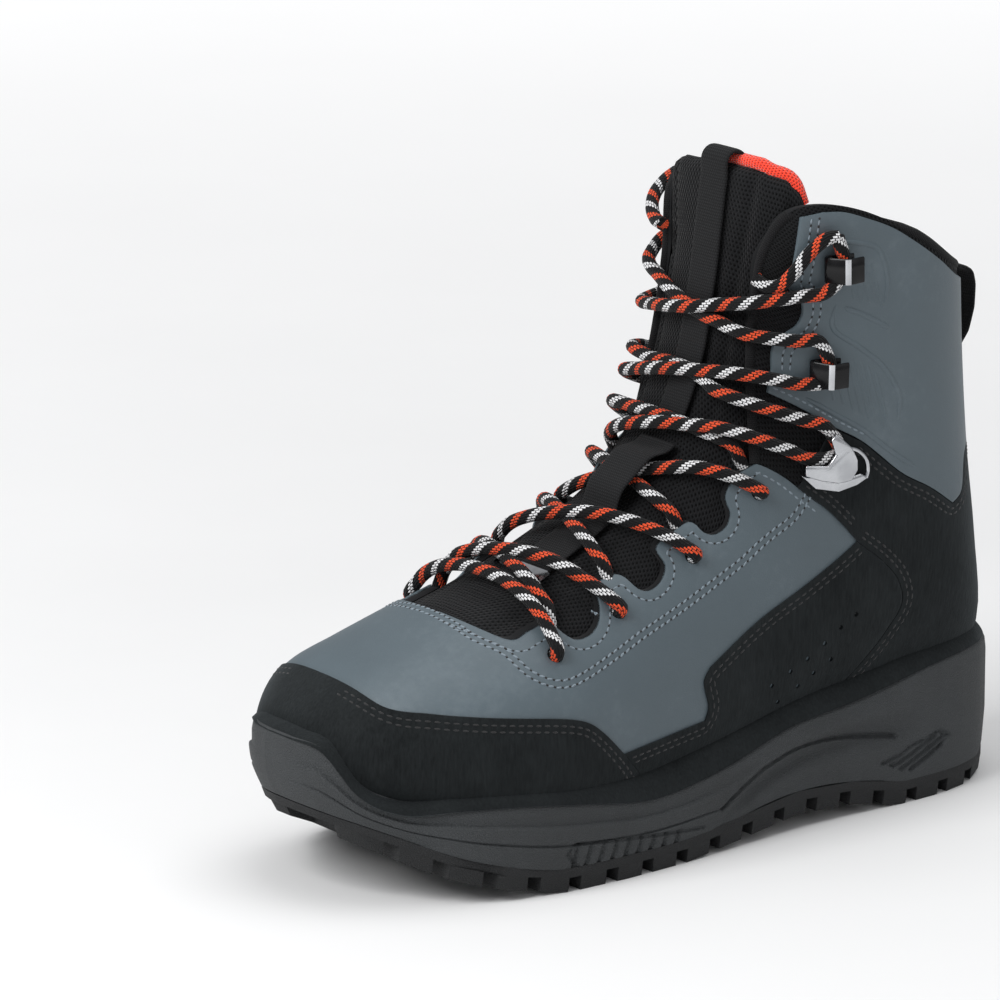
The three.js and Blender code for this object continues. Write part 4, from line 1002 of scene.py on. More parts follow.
def build_studio():
    for name, place, aim, size, power in SOFTBOXES:
        softbox(name, place, aim, size, power)
    world = bpy.data.worlds.new("studio")
    world.use_nodes = True
    backdrop = world.node_tree.nodes["Background"]
    backdrop.inputs["Color"].default_value = SKY
    backdrop.inputs["Strength"].default_value = SKY_STRENGTH
    bpy.context.scene.world = world
    look = Look("floor", 0.7)
    wear = look.use(WEAR, Place=look.place, Scale=4.0)
    look.colour(look.mix(wear["Shade"], (0.80, 0.80, 0.80), (0.82, 0.82, 0.82)))
    # Painted light: the floor glows more the farther it lies from the middle.
    away = look.n.add("ShaderNodeVectorMath", {0: look.place}, operation="LENGTH").outputs["Value"]
    look.face.inputs["Emission Color"].default_value = (1, 1, 1, 1)
    painted_floor_glow = look.n.fit(away, GLOW_FROM, GLOW_TO, 0.0, FLOOR_PAINTED_GLOW)
    look.n.put(look.face.inputs["Emission Strength"], painted_floor_glow)
    bpy.ops.mesh.primitive_grid_add(x_subdivisions=8, y_subdivisions=8, size=12)
    floor = bpy.context.active_object
    floor.name = "studio_floor"
    floor.data.materials.append(look.material)


build_camera()
build_studio()
bpy.context.scene.view_settings.view_transform = "Standard"


# The lace: one cord through the eyelets and round the hooks, and its two free ends
def half_lace(flip):
    """The lace from its first hole up to its top hook, starting on the outer side or its mirror."""
    def on(stop, other):
        return mirror(stop) if other != flip else stop

    path = []
    side = False
    for i, bed in enumerate(STRAND_BEDS):
        start, end = on(under(i), side), on(over(i + 1), not side)
        rides = bed != ON_TONGUE and start[1] > 180
        path += strand(start, end, bed, RIDE if rides else 0.0)
        hole = on(HOLES[i + 1][:3], not side)
        path.append(lace_point(hole[0], hole[1], IN_HOLE))
        below = on(under(i + 1), not side)
        path.append(lace_point((hole[0] + below[0]) / 2, (hole[1] + below[1]) / 2, BELOW_HOLE))
        side = not side
    for low, high, hook in (
        (under(3), LOCK_LOW, ROUND_LOCK),
        (hooked(LOCK_HIGH), HOOK_LOW[0], ROUND_HOOKS[0]),
        (hooked(HOOK_HIGH[0]), HOOK_LOW[1], ROUND_HOOKS[1]),
    ):
        start, end = on(low, side), on(hooked(high), not side)
        path += strand(start, end, ON_TONGUE, RIDE if start[1] > 180 else 0.0)
        at, turn, _ = on(hook, not side)
        path.append(lace_point(at, turn, IN_HOOK))
        side = not side
    top = on(HOOK_HIGH[1], side)
    path.append(lace_point(top[0], top[1], ON_OVERLAY))
    return path


def build_lace():
    outer = half_lace(False)
    inner = half_lace(True)
    hole = HOLES[0]
    other = mirror(hole[:3])
    bar = []
    for share in np.linspace(0, 1, 15):
        at, turn = (hole[k] + (other[k] - hole[k]) * share for k in (0, 1))
        edge = min(1.0, 6 * min(share, 1 - share))
        bar.append(lace_point(at, turn, ON_UPPER + (ON_WEBBING + BAR_LIFT - ON_UPPER) * edge))
    into, back = (
        [lace_point(stop[0], stop[1], IN_HOLE),
         lace_point(stop[0] + BAR_TUCK[0], stop[1] + way * BAR_TUCK[1], BELOW_HOLE)]
        for stop, way in ((hole, 1), (other, -1))
    )
    points = outer[::-1] + into[::-1] + bar + back + inner
    piece = tube("lace", through_points(points, LACE_STEP), LACE / 2)
    finish(piece, CORD, "lace", "lace_bar", *[f"lace_crossing_{i}" for i in range(1, 7)])


def build_lace_end(name, route):
    count = len(route) - 1
    points = [
        lace_point(at, turn, ON_OVERLAY + (ON_WEBBING - ON_OVERLAY) * (i / count) ** 2)
        for i, (at, turn) in enumerate(route)
    ]
    path = through_points(points, LACE_STEP)
    piece = tube(name.replace("end", "tip"), path, LACE / 2)
    finish(piece, CORD, "lace", name)


build_lace()
build_lace_end("lace_end_outer", END_OUTER)
build_lace_end("lace_end_inner", END_INNER)


# The upper: a mesh shell, the grey quarter over it and the overlays over both
BEHIND = -0.05
AHEAD = 1.1
HIGH = 1.6
DEEP = -0.5
STEP = 0.0014
QUARTER = 0.0006
QUARTER_LOW = -0.0004
OVERLAY_LOW = 0.0003
SEAM = 0.0002


def edge_line(side):
    """The rim and the throat's edge in the side view, seen on one side."""
    throat = THROAT
    if side < 0:
        throat = [
            (x + INNER_THROAT_SHIFT * (THROAT_FRONT - x),
             z - THROAT_SLOPE * INNER_THROAT_SHIFT * (THROAT_FRONT - x)) for x, z in THROAT
        ]
    rim = through_points(side_xz(RIM), STEP)
    return np.concatenate([rim, through_points(side_xz(throat), STEP)])


def cut_opening(piece):
    beyond = side_xz([(THROAT_FRONT, 0.36), (THROAT_FRONT, HIGH), (BEHIND, HIGH)])
    for side in (1, -1):
        line = np.concatenate([edge_line(side), beyond])
        low, high = (0, BALL_WIDTH) if side > 0 else (-BALL_WIDTH, 0)
        cut(piece, side_prism(line, low, high))


def hole_places():
    for hole in HOLES:
        for at, turn in (hole[:2], mirror(hole[:3])[:2]):
            yield last_frame(at, math.radians(turn))


def cut_holes(piece):
    for place, normal, _ in hole_places():
        cut(piece, drill(place, normal, HOLE / 2, 0.010, 24))


def soften(piece, width=0.0004):
    modify(piece, "BEVEL", width=width, segments=2, limit_method="ANGLE", angle_limit=math.radians(50))
    smooth(piece, 40)


def overlay(name, line, low, high):
    piece = shell(name, OVERLAY_LOW, OVERLAY)
    cut(piece, side_prism(line, low, high), "INTERSECT")
    soften(piece)
    return piece


def line_of(shares, corners=()):
    return through_points(side_xz(shares), STEP, corners)


def quarter_line():
    rear = line_of(QUARTER_REAR)
    around = side_xz([(0.300, 0.300), (0.360, DEEP), (AHEAD, DEEP), (AHEAD, HIGH), (0.413, HIGH)])
    return np.concatenate([rear, around])


def rand_line():
    top = line_of(RAND_TOP)
    rear = line_of(RAND_REAR)
    ahead = side_xz([(AHEAD, DEEP), (AHEAD, RAND_TOP[0][1])])
    return np.concatenate([ahead, top, rear[1:], side_xz([(RAND_REAR[-1][0], DEEP)])])


def band_line():
    front = line_of(RAND_REAR)[::-1] - (SEAM, 0)
    top = line_of(BAND_TOP, (1, 4))
    rear = line_of(BAND_REAR)
    deep = side_xz([(BAND_REAR[-1][0], DEEP), (RAND_REAR[-1][0], DEEP)])
    return np.concatenate([front[:-1], top, rear[1:] + (SEAM, 0), deep])


def counter_line():
    front = line_of(COUNTER_FRONT, (2,))
    rear = line_of(BAND_REAR) - (SEAM, 0)
    behind = side_xz([(BAND_REAR[-1][0], DEEP), (BEHIND, DEEP)])
    top = line_of(PANEL_LOW[3:], (3,)) - (0, SEAM)
    return np.concatenate([front, rear, behind, top[::-1]])


def panel_line():
    low = line_of(PANEL_LOW, (6,)) + (0, SEAM)
    return np.concatenate([low[::-1], line_of(PANEL_FRONT), line_of(PANEL_TOP)])


def build_upper():
    upper = shell("upper_mesh", -WALL, 0.0)
    cut_opening(upper)
    cut_holes(upper)
    soften(upper, 0.0003)
    finish(upper, MESH, "upper", "upper")
    quarter = shell("quarter", QUARTER_LOW, QUARTER)
    cut(quarter, side_prism(quarter_line()), "INTERSECT")
    cut_opening(quarter)
    cut_holes(quarter)
    soften(quarter, 0.0003)
    finish(quarter, LEATHER, "upper")
    return upper, quarter


def build_overlays():
    full = (-BALL_WIDTH, BALL_WIDTH)
    for name, line, span, material, slot, node in (
        ("toe_rand_nubuck", rand_line(), full, NUBUCK, "nubuck", "toe_rand"),
        ("side_band_nubuck", band_line(), (0, BALL_WIDTH), NUBUCK, "nubuck", "side_band_outer"),
        ("side_band_nubuck_inner", band_line(), (-BALL_WIDTH, 0), NUBUCK, "nubuck", "side_band_inner"),
        ("heel_counter_nubuck", counter_line(), full, NUBUCK, "nubuck", "heel_counter"),
        ("collar_leather", panel_line(), full, LEATHER, "collar_leather", "collar_panel"),
    ):
        yield finish(overlay(name, line, *span), material, slot, node)


upper, quarter = build_upper()
rand, band_outer, band_inner, counter, panel = build_overlays()


# The sole: its side is carved by a depth over the way round and the height
HEEL_DIP = 0.0030


def sole_edge(round_share):
    """The sole's edge in last coordinates, once round from the toe along the outer side."""
    r = np.asarray(round_share, float) % 1.0
    outer = r <= 0.5
    at = np.where(outer, 2 * r, 2 - 2 * r)
    side = np.where(outer, sole["outer"](at), -sole["inner"](at)) * BALL_WIDTH
    rim = rise(np.where(outer, sole["rim_outer"](at), sole["rim_inner"](at)))
    rim = rim - HEEL_DIP * ease(at, 0.84, 0.98)
    return sole["x"](at) * LENGTH, side, rim


def lift(x):
    """How far the tread stands off the floor."""
    ball_front, ball_rear = FOREFOOT_SEAT + BALL_CONTACT, FOREFOOT_SEAT - BALL_CONTACT
    heel_front, heel_rear = HEEL_SEAT + HEEL_CONTACT, HEEL_SEAT - HEEL_CONTACT
    toe = TOE_SPRING * (np.clip(x - ball_front, 0, None) / (LENGTH - ball_front)) ** 1.45
    arch = np.clip((x - heel_front) / (ball_rear - heel_front), 0, 1)
    heel = HEEL_BEVEL * np.clip(1 - np.maximum(x, 0) / heel_rear, 0, 1) ** 1.7
    return toe + ARCH_LIFT * np.sin(np.pi * arch) ** 0.8 + heel


def inset_edge(r, inset):
    step = 0.003
    x0, y0, _ = sole_edge(r - step)
    x1, y1, _ = sole_edge(r + step)
    x, y, rim = sole_edge(r)
    long = np.hypot(x1 - x0, y1 - y0)
    return x - (y1 - y0) / long * inset, y + (x1 - x0) / long * inset, rim


def near_line(u, v, points, width):
    """1 on a line through points of the side, falling to 0 at its width, in metres."""
    best = np.full(np.broadcast(u, v).shape, 1e9)
    for (u0, v0), (u1, v1) in zip(points, points[1:]):
        du, dv = u1 - u0, v1 - v0
        t = np.clip(((u - u0) * du + (v - v0) * dv) / (du * du + dv * dv), 0, 1)
        best = np.minimum(best, np.hypot(u - u0 - t * du, v - v0 - t * dv))
    return 1 - ease(best, 0.25 * width, width)


def within(u, v, points):
    """Whether places of the side lie in an outline."""
    inside = np.zeros(np.broadcast(u, v).shape, bool)
    for (u0, v0), (u1, v1) in zip(points, points[1:] + points[:1]):
        crosses = (v0 > v) != (v1 > v)
        inside ^= crosses & (u < u0 + (v - v0) * (u1 - u0) / ((v1 - v0) or 1e-9))
    return inside


# The side's lines: at along the sole from the toe, and the height as a share of SIDE_TALL
SIDE_TALL = 0.030
SWEEP = (
    (0.545, 0.27), (0.57, 0.38), (0.60, 0.49), (0.64, 0.57), (0.69, 0.58), (0.74, 0.57), (0.775, 0.58),
)
LEAF = ((0.758, 0.22), (0.795, 0.44), (0.835, 0.55), (0.850, 0.46), (0.835, 0.28), (0.800, 0.10))
LEAF_CUTS = 3
LEAF_EDGE = 0.0009
LEAF_CUT = 0.0013
LEAF_DEEP = 0.0004
ARCH_HOLLOW = 0.0022
ARCH_SWELL = 0.0012
RIM_GROOVE = 0.0010
SWEEP_DEEP = 0.0016
ARCH_RIDGE = ((0.54, 0.30), (0.60, 0.52), (0.66, 0.64), (0.72, 0.68), (0.79, 0.62))

# How deep the side is cut, in millimetres, from the plate at 0 up to the rim at 1
SIDE_PLAIN = ((0, 0.9), (0.3, 0.1), (0.85, 0.3), (0.95, 0.8), (1, 2.4))
SIDE_STEPS = (
    (0.00, 1.0), (0.28, 0.1), (0.335, 0.0), (0.36, 1.1), (0.385, 0.1), (0.60, 0.2), (0.63, 0.3),
    (0.66, 1.5), (0.84, 1.5), (0.95, 2.0), (1.00, 3.0),
)


def on_wall(shares):
    """Points of the side in metres: along from the toe, and up from the plate."""
    return [(a * LENGTH, b * SIDE_TALL) for a, b in shares]


def side_depth(at, level, height):
    """How deep the side is carved, in metres. U runs along it in metres from the toe, v up from the plate."""
    u = at * LENGTH
    v = level * height
    plain = read_off(SIDE_PLAIN, level)
    forefoot = ease(at, 0.02, 0.08) * (1 - ease(at, 0.48, 0.62))
    depth = (plain + (read_off(SIDE_STEPS, level) - plain) * forefoot) * MM
    # the arch: a hollow under a rounded ridge that climbs towards the heel
    ridge = read_off(ARCH_RIDGE, at)
    below = ease(at, 0.52, 0.60) * (1 - ease(at, 0.76, 0.82))
    depth = depth + ARCH_HOLLOW * below * bell(level, ridge - 0.15, 0.13)
    depth = depth + SWEEP_DEEP * near_line(u, v, on_wall(SWEEP), 0.0013)
    depth = depth - ARCH_SWELL * below * bell(level, ridge + 0.10, 0.09)
    depth = depth + RIM_GROOVE * below * bell(level, 0.95, 0.08)
    # the heel: a leaf-shaped window with slanted cuts
    leaf = on_wall(LEAF)
    in_leaf = within(u, v, leaf)
    depth = depth + LEAF_EDGE * near_line(u, v, leaf[:4], 0.0011)
    for k in range(LEAF_CUTS):
        start = (leaf[0][0] + 0.004 + 0.0042 * k, 0.0060 - 0.0010 * k)
        end = (start[0] + 0.018, start[1] + 0.0088)
        depth = depth + np.where(in_leaf, LEAF_CUT * near_line(u, v, [start, end], 0.0013), 0)
    return depth + np.where(in_leaf, LEAF_DEEP, 0)


WINDOW = (0.345, 0.520)
WINDOW_TALL = 0.0088
WINDOW_LOW = -0.0005
WINDOW_SLOPE = 0.085
WINDOW_RIBS = 9
WINDOW_PITCH = 0.0052
WINDOW_LEAN = 0.0045
WINDOW_EDGE = 0.0008
WINDOW_RIB = 0.0011


def outer_window(at, level, height):
    """The ribbed window in the ball's outer side."""
    u = at * LENGTH
    v = level * height
    left, right = (share * LENGTH for share in WINDOW)
    top = WINDOW_TALL - (u - left) * WINDOW_SLOPE
    rim = [(left + 0.004, WINDOW_LOW), (left, 0.00572), (left + 0.003, WINDOW_TALL), (right, 0.003)]
    depth = WINDOW_EDGE * near_line(u, v, rim, 0.0010)
    inside = (u > left + 0.002) & (u < right) & (v < top)
    for k in range(WINDOW_RIBS):
        start = left + 0.006 + k * WINDOW_PITCH
        rib = [(start, top.max()), (start - WINDOW_LEAN, WINDOW_LOW - 0.002)]
        depth = depth + np.where(inside, WINDOW_RIB * near_line(u, v, rib, 0.0011), 0)
    return depth


MID_ROUND = 960
MID_LEVELS = 72
RIM_EDGE = ((0.0042, 0.0001), (0.0060, 0.0012))  # how far in and down the rim's edge turns


def way_along(r):
    """Shares round the sole as shares along it."""
    return np.where(r <= 0.5, 2 * r, 2 - 2 * r)


def build_midsole():
    r = np.arange(MID_ROUND) / MID_ROUND
    even = (np.where(r < 0.5, 1 - np.cos(2 * np.pi * r), 3 + np.cos(2 * np.pi * r))) / 4
    r = r + (even - r) * 0.35
    at = way_along(r)
    level = np.linspace(0, 1, MID_LEVELS)
    x, _, rim = inset_edge(r, 0.0)
    bottom = lift(x) + LUG_HEIGHT + PLATE
    height = rim - bottom
    depth = side_depth(at[None, :], level[:, None], height[None, :])
    window = outer_window(at[None, :], level[:, None], height[None, :])
    depth = depth + np.where(r[None, :] <= 0.5, window, 0)
    rows = []
    for k, share in enumerate(level):
        px, py, _ = inset_edge(r, depth[k])
        rows.append(np.stack([px - HEEL_SEAT, py, bottom + share * height], -1))
    for inset, drop in RIM_EDGE:
        px, py, _ = inset_edge(r, inset)
        rows.append(np.stack([px - HEEL_SEAT, py, rim - drop], -1))
    piece = grid("midsole_rubber", rows, closed=True, capped=True)
    cut(piece, last_body(OVERLAY + 0.0004))
    smooth(piece, 45)
    finish(piece, SIDE_RUBBER, "midsole", "midsole")
    return piece


TREAD_EDGE = 0.0006


def build_tread():
    """The outsole's own solid with its edges rounded."""
    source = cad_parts["outsole"]
    mesh = source.data.copy()
    piece = link("tread", mesh)
    mesh.transform(source.matrix_world)
    weld(piece, 0.00002, math.radians(1))
    modify(piece, "BEVEL", width=TREAD_EDGE, segments=2, limit_method="ANGLE", angle_limit=math.radians(35))
    smooth(piece, 40)
    return finish(piece, TREAD_RUBBER, "outsole", "outsole")


SKIRT_ROUND = 420
SKIRT_LOW = 0.003
SKIRT_RAY = 0.010
SKIRT_MISS = 0.004


def ring_smoothed(values, count):
    """Evens out values that run once round the sole."""
    for _ in range(count):
        values = (np.roll(values, 1, axis=0) + 2 * values + np.roll(values, -1, axis=0)) / 4
    return values


def build_skirt():
    """The nubuck's lower edge, which flares from the boot's side out to the sole's rim."""
    tree = last_tree(OVERLAY + SEAM)

    def meets(low, inward, tall):
        start = low + (0, 0, tall)
        hit, _, _, away = tree.ray_cast(Vector(start - inward * SKIRT_RAY), Vector(inward))
        if hit is None:
            return start + inward * SKIRT_MISS, SKIRT_MISS
        return np.array(hit), away - SKIRT_RAY

    r = np.arange(SKIRT_ROUND) / SKIRT_ROUND
    x, y, rim = inset_edge(r, 0.0014)
    far_x, far_y, _ = inset_edge(r, 0.0024)
    inward = unit(ring_smoothed(np.stack([far_x - x, far_y - y, 0 * x], 1), 6))
    low = np.stack([x - HEEL_SEAT, y, rim - 0.0006], 1)
    gaps = np.array([meets(a, b, SKIRT_LOW)[1] for a, b in zip(low, inward)])
    wide = 0.75 * np.clip(gaps, 0, 0.012) * ease(way_along(r), 0.10, 0.32)
    tall = SKIRT_LOW - 0.001 + ring_smoothed(wide, 40)
    share = np.linspace(0, 1, 9)[:, None]
    rows = []
    for a, b, up in zip(low, inward, tall):
        top, gap = meets(a, b, up)
        bend = a + (0, 0, 0.5 * up) + b * 0.28 * max(gap, 0)
        curve = (1 - share) ** 2 * a + 2 * share * (1 - share) * bend + share**2 * (top + b * 0.0004)
        back = [top + b * 0.0016, a + b * 0.0030 + (0, 0, 0.0005), a + b * 0.002 - (0, 0, 0.001)]
        rows.append(np.concatenate([curve, back]))
    piece = grid("nubuck_skirt", rows + rows[:1], closed=True)
    weld(piece, 0.00001)
    outward(piece)
    smooth(piece, 60)
    finish(piece, NUBUCK, "nubuck")


midsole = build_midsole()
build_skirt()
outsole = build_tread()


CURL_LONG = 0.055
CURL_TALL = 0.026
CURL_IN = 0.0080
CURL_TIP = 0.012


def curl_toe(*pieces):
    """Rounds the sole's lower edge inwards all round the toe."""
    clouds = [np.array([v.co for v in piece.data.vertices]) for piece in pieces]
    tip = max(points[:, 0].max() for points in clouds)
    low = min(points[points[:, 0] > tip - CURL_TIP][:, 2].min() for points in clouds)
    centre = np.array([tip - CURL_LONG, 0.0])
    for piece, points in zip(pieces, clouds):
        away = points[:, :2] - centre
        away /= np.linalg.norm(away, axis=1, keepdims=True) + 1e-9
        ahead = ease(points[:, 0], tip - CURL_LONG, tip - CURL_TIP)
        beneath = np.clip((low + CURL_TALL - points[:, 2]) / CURL_TALL, 0, 1) ** 1.5
        points[:, :2] -= away * (CURL_IN * ahead * beneath)[:, None]
        piece.data.vertices.foreach_set("co", points.ravel())
        piece.data.update()


curl_toe(midsole, outsole)

# Hooks: bent sheet on the collar's front, polished lock hooks at the ankle
HOOK_LINE = (
    (-0.0055, 0.0007), (0.0044, 0.0007), (0.0056, 0.0018), (0.0006, 0.0070), (-0.0008, 0.0077),
    (-0.0070, 0.0062),
)
HOOK_BEND = (-0.0014, 0.0005)
HOOK_TALL = 0.0095
HOOK_SHEET = 0.0013
HOOK_BARE = 0.0003  # the bright metal that shows along the bend
STAND_OFF = 0.0020
LOCK_PLATE = (
    (0.0106, 0.0052), (0.0019, 0.0036), (-0.0024, 0.0007), (-0.0044, -0.0026), (-0.0040, -0.0070),
    (0.0005, -0.0102), (0.0075, -0.0124), (0.0144, -0.0137), (0.0163, -0.0103), (0.0076, -0.0064),
    (0.0068, -0.0014), (0.0114, 0.0022),
)
LOCK_WALL = (
    (-0.0024, 0.0007), (-0.0044, -0.0026), (-0.0040, -0.0070), (0.0005, -0.0102), (0.0075, -0.0124),
    (0.0080, -0.0108), (0.0012, -0.0086), (-0.0024, -0.0060), (-0.0028, -0.0026), (-0.0012, -0.0004),
)
LOCK_BASE = (
    (0.0122, -0.0138), (0.0043, -0.0155), (-0.0052, -0.0124), (-0.0110, -0.0070), (-0.0140, -0.0024),
    (-0.0102, -0.0025), (-0.0037, -0.0085), (0.0040, -0.0105),
)
LOCK_RING = (
    (0.0004, 0.0030), (-0.0044, 0.0042), (-0.0094, 0.0030), (-0.0124, -0.0004), (-0.0130, -0.0030),
)
LOCK_RING_OUT = 0.0030
LOCK_AHEAD = 0.010
LOCK_WIRE = 0.0008
LOCK_SLABS = (
    ("plate", LOCK_PLATE, 0.0080, 0.0096, 0.0006), ("wall", LOCK_WALL, 0.0018, 0.0086, 0.0004),
    ("base", LOCK_BASE, 0.0016, 0.0034, 0.0006),
)


def side_frame(at, turn):
    """A place on the boot's side with its ways forward, out and up."""
    place, normal, up = (np.asarray(v, float).reshape(3) for v in last_frame(at, np.radians(turn)))
    forward = np.cross(normal, up)
    forward *= np.sign(forward[0]) / np.linalg.norm(forward)
    return place, forward, normal, up


def sheet_outline(line, thick):
    along = unit(np.gradient(line, axis=0))
    aside = np.stack([-along[:, 1], along[:, 0]], 1) * thick / 2
    return np.concatenate([line + aside, (line - aside)[::-1]])


def bent_sheet(name, line, thick, where, material, slot, *nodes):
    """A strip of sheet drawn as a line in the plane of forward and out, as tall as a hook."""
    place, forward, out, up = where
    rows = []
    for share, part in ((-0.5, 0.55), (-0.46, 1.0), (0.46, 1.0), (0.5, 0.55)):
        outline = sheet_outline(line, thick * part)
        rows.append(place + outline[:, :1] * forward + outline[:, 1:] * out + up * share * HOOK_TALL)
    piece = grid(name, rows, closed=True, capped=True)
    smooth(piece, 40)
    return finish(piece, material, slot, *nodes)


def slab(name, outline, low, high, where, rounded):
    """A flat plate with an outline in the plane of forward and up, with its edges rounded."""
    place, forward, out, up = where
    outline = np.array(outline)
    rows = [
        place + outline[:, :1] * forward + outline[:, 1:] * up + out * level for level in (low, high)
    ]
    piece = grid(name, rows, closed=True, capped=True)
    modify(piece, "BEVEL", width=rounded, segments=3, limit_method="ANGLE", angle_limit=math.radians(30))
    smooth(piece, 50)
    return piece


def build_hooks():
    line = through_points(HOOK_LINE, 0.00035, (1,))
    bend = (line[:, 0] > HOOK_BEND[0]) & (line[:, 0] < HOOK_BEND[1]) & (line[:, 1] > 0.004)
    along = unit(np.gradient(line, axis=0))
    face = (line + np.stack([along[:, 1], -along[:, 0]], 1) * HOOK_SHEET / 2)[bend]
    for side, flip in (("outer", False), ("inner", True)):
        for number, stop in enumerate(HOOKS, 1):
            at, turn, _ = mirror(stop) if flip else stop
            place, forward, out, up = side_frame(at, turn)
            where = (place + out * STAND_OFF, forward, out, up)
            bent_sheet(f"hook_{side}_{number}", line, HOOK_SHEET, where, ENAMEL, "black_metal",
                       f"lace_hook_{side}_{number}")
            bent_sheet(f"hook_edge_{side}_{number}", face, HOOK_BARE, where, STEEL, "bright_metal")
        at, turn, _ = mirror(LOCK) if flip else LOCK
        where = side_frame(at + LOCK_AHEAD, turn)
        place, forward, out, up = where
        ring = through_points(LOCK_RING, LOCK_WIRE)
        ring = place + ring[:, :1] * forward + ring[:, 1:] * up + out * LOCK_RING_OUT
        parts = [slab(name, outline, low, high, where, edge) for name, outline, low, high, edge in LOCK_SLABS]
        parts.append(tube("ring", ring, LOCK_WIRE, sides=10))
        finish(joined(f"lock_{side}", parts), STEEL, "bright_metal", f"lock_hook_{side}")


build_hooks()


# Soft goods and webbing
def strip(name, stations, width, thick, sides=20):
    """A woven strip through stations, each with its middle, the way across and the way out."""
    turns = 2 * np.pi * np.arange(sides) / sides
    a = np.sign(np.cos(turns)) * np.abs(np.cos(turns)) ** 0.25
    b = np.sign(np.sin(turns)) * np.abs(np.sin(turns)) ** 0.6
    rows = [
        place + a[:, None] * across * width / 2 + (b[:, None] + 1) * out * thick / 2
        for place, across, out in stations
    ]
    piece = grid(name, rows, closed=True, capped=True)
    smooth(piece, 50)
    return piece


ACROSS = np.array([0.0, 1.0, 0.0])
STRIP_EASE = 0.0006
TUCK = 0.0002

# Up the heel loop, and how far it stands off; along the fan, and how far the keeper is lifted
HEEL_LOOP_LINE = (
    (0, 0), (0.10, 0.35), (0.25, 0.72), (0.50, 0.98), (0.75, 1.06), (0.90, 0.98), (0.96, 0.62), (1, 0),
)
HEEL_LOOP_ENDS = (0.957, 0.993)
HEEL_LOOP_OFF = 0.0023
KEEPER_LINE = (
    (0.322, 0.0), (0.350, 0.0), (0.380, 0.02), (0.425, 0.0), (0.448, 0.10), (0.468, 0.93),
    (0.485, 1.0), (0.510, 1.0), (0.530, 0.93), (0.548, 0.14), (0.562, 0.03),
)
PULL_ENDS = (0.585, 1.005)
PULL_DROPS = (0.006, 0.012, 0.018)


def ridge_station(at, off):
    place, _, along = last_frame(at, np.pi - 0.02)
    out = np.cross(along, ACROSS)
    out /= np.linalg.norm(out)
    if out[0] < 0:
        out = -out
    return place + out * off + ACROSS * WEBBING_ASIDE, ACROSS, out


def averaged(values, reach):
    """Each value as the mean of itself and its neighbours to both sides."""
    count = 2 * reach + 1
    return np.convolve(np.pad(values, reach, mode="edge"), np.ones(count) / count, "valid")


def build_webbing():
    lifted = ON_TONGUE + LACE / 2 + STRIP_EASE + STRIP_EASE + WALL
    at = np.linspace(KEEPER_LINE[0][0], KEEPER_LINE[-1][0], 60)
    share = averaged(read_off(KEEPER_LINE, at), 2)
    keeper = strip("keeper_webbing", [ridge_station(a, s * lifted - WALL) for a, s in zip(at, share)],
                   KEEPER_WIDTH, WEBBING)
    finish(keeper, TAPE, "webbing", "lace_keeper")
    stations = [ridge_station(a, TUCK - WALL) for a in np.linspace(*PULL_ENDS, 60)]
    place = stations[-1][0]
    centre = np.array([place[0] - LOOP_RADIUS, place[1], rise(TONGUE_CREST) + STRIP_EASE])
    for turn in np.linspace(0, np.pi, 16):
        out = np.array([math.cos(turn), 0, math.sin(turn)])
        stations.append((centre + out * LOOP_RADIUS, ACROSS, out))
    for drop in PULL_DROPS:
        stations.append((centre - (LOOP_RADIUS, 0, drop), ACROSS, np.array([-1.0, 0, 0])))
    loop = strip("tongue_pull", stations, LOOP_WIDTH, WEBBING)
    finish(loop, TAPE, "webbing", "tongue_loop")
    foot, head = on_last(np.array(HEEL_LOOP_ENDS), np.zeros(2), HEEL_LOOP_OFF)
    share = np.linspace(0, 1, 41)[:, None]
    reach = HEEL_LOOP_REACH * read_off(HEEL_LOOP_LINE, share)
    places = smoothed(foot + (head - foot) * share - reach * (1, 0, 0), 2)
    along = np.gradient(places, axis=0)
    out = unit(np.stack([-along[:, 2], np.zeros(len(along)), along[:, 0]], 1))
    pull = strip("heel_pull", [(p, ACROSS, o) for p, o in zip(places, out)], HEEL_LOOP_WIDTH, WEBBING)
    finish(pull, TAPE, "webbing", "heel_loop")


TONGUE_FOOT = 0.20
TONGUE_TOP = 1.053
TONGUE_FALL = (
    (-1.0, 0.026), (-0.94, 0.0165), (-0.86, 0.0105), (-0.70, 0.0060), (-0.40, 0.0025), (0, 0),
    (0.40, 0.0012), (0.70, 0.0040), (0.86, 0.0080), (0.94, 0.0145), (1.0, 0.024),
)
TONGUE_CHANNELS = ((0.40, 0.045, 1.0), (0.80, 0.04, 0.8))  # place across, width and share of the depth
TONGUE_SEAMS = (0.60, 0.74, 0.86)
QUILT_HIGH = 0.0016
QUILT_LOW = 0.0008
SEAM_DEEP = 0.0007
LINED_FROM = 0.55
ROLL = 0.0026
TONGUE_COLUMNS = 49
TONGUE_ROWS = 110


def tongue_limits(at):
    """How far round from the ridge the tongue reaches at each place along the fan."""
    turns = np.radians(np.linspace(180, 92, 177))
    points = bare_last(at[:, None], turns[None, :])
    lines = sorted((rise(z), x * LENGTH - HEEL_SEAT) for x, z in TONGUE_SIDE)
    behind = points[..., 0] < read_off(lines, points[..., 2])
    behind[:, -1] = True
    return np.pi - turns[np.argmax(behind, axis=1)]


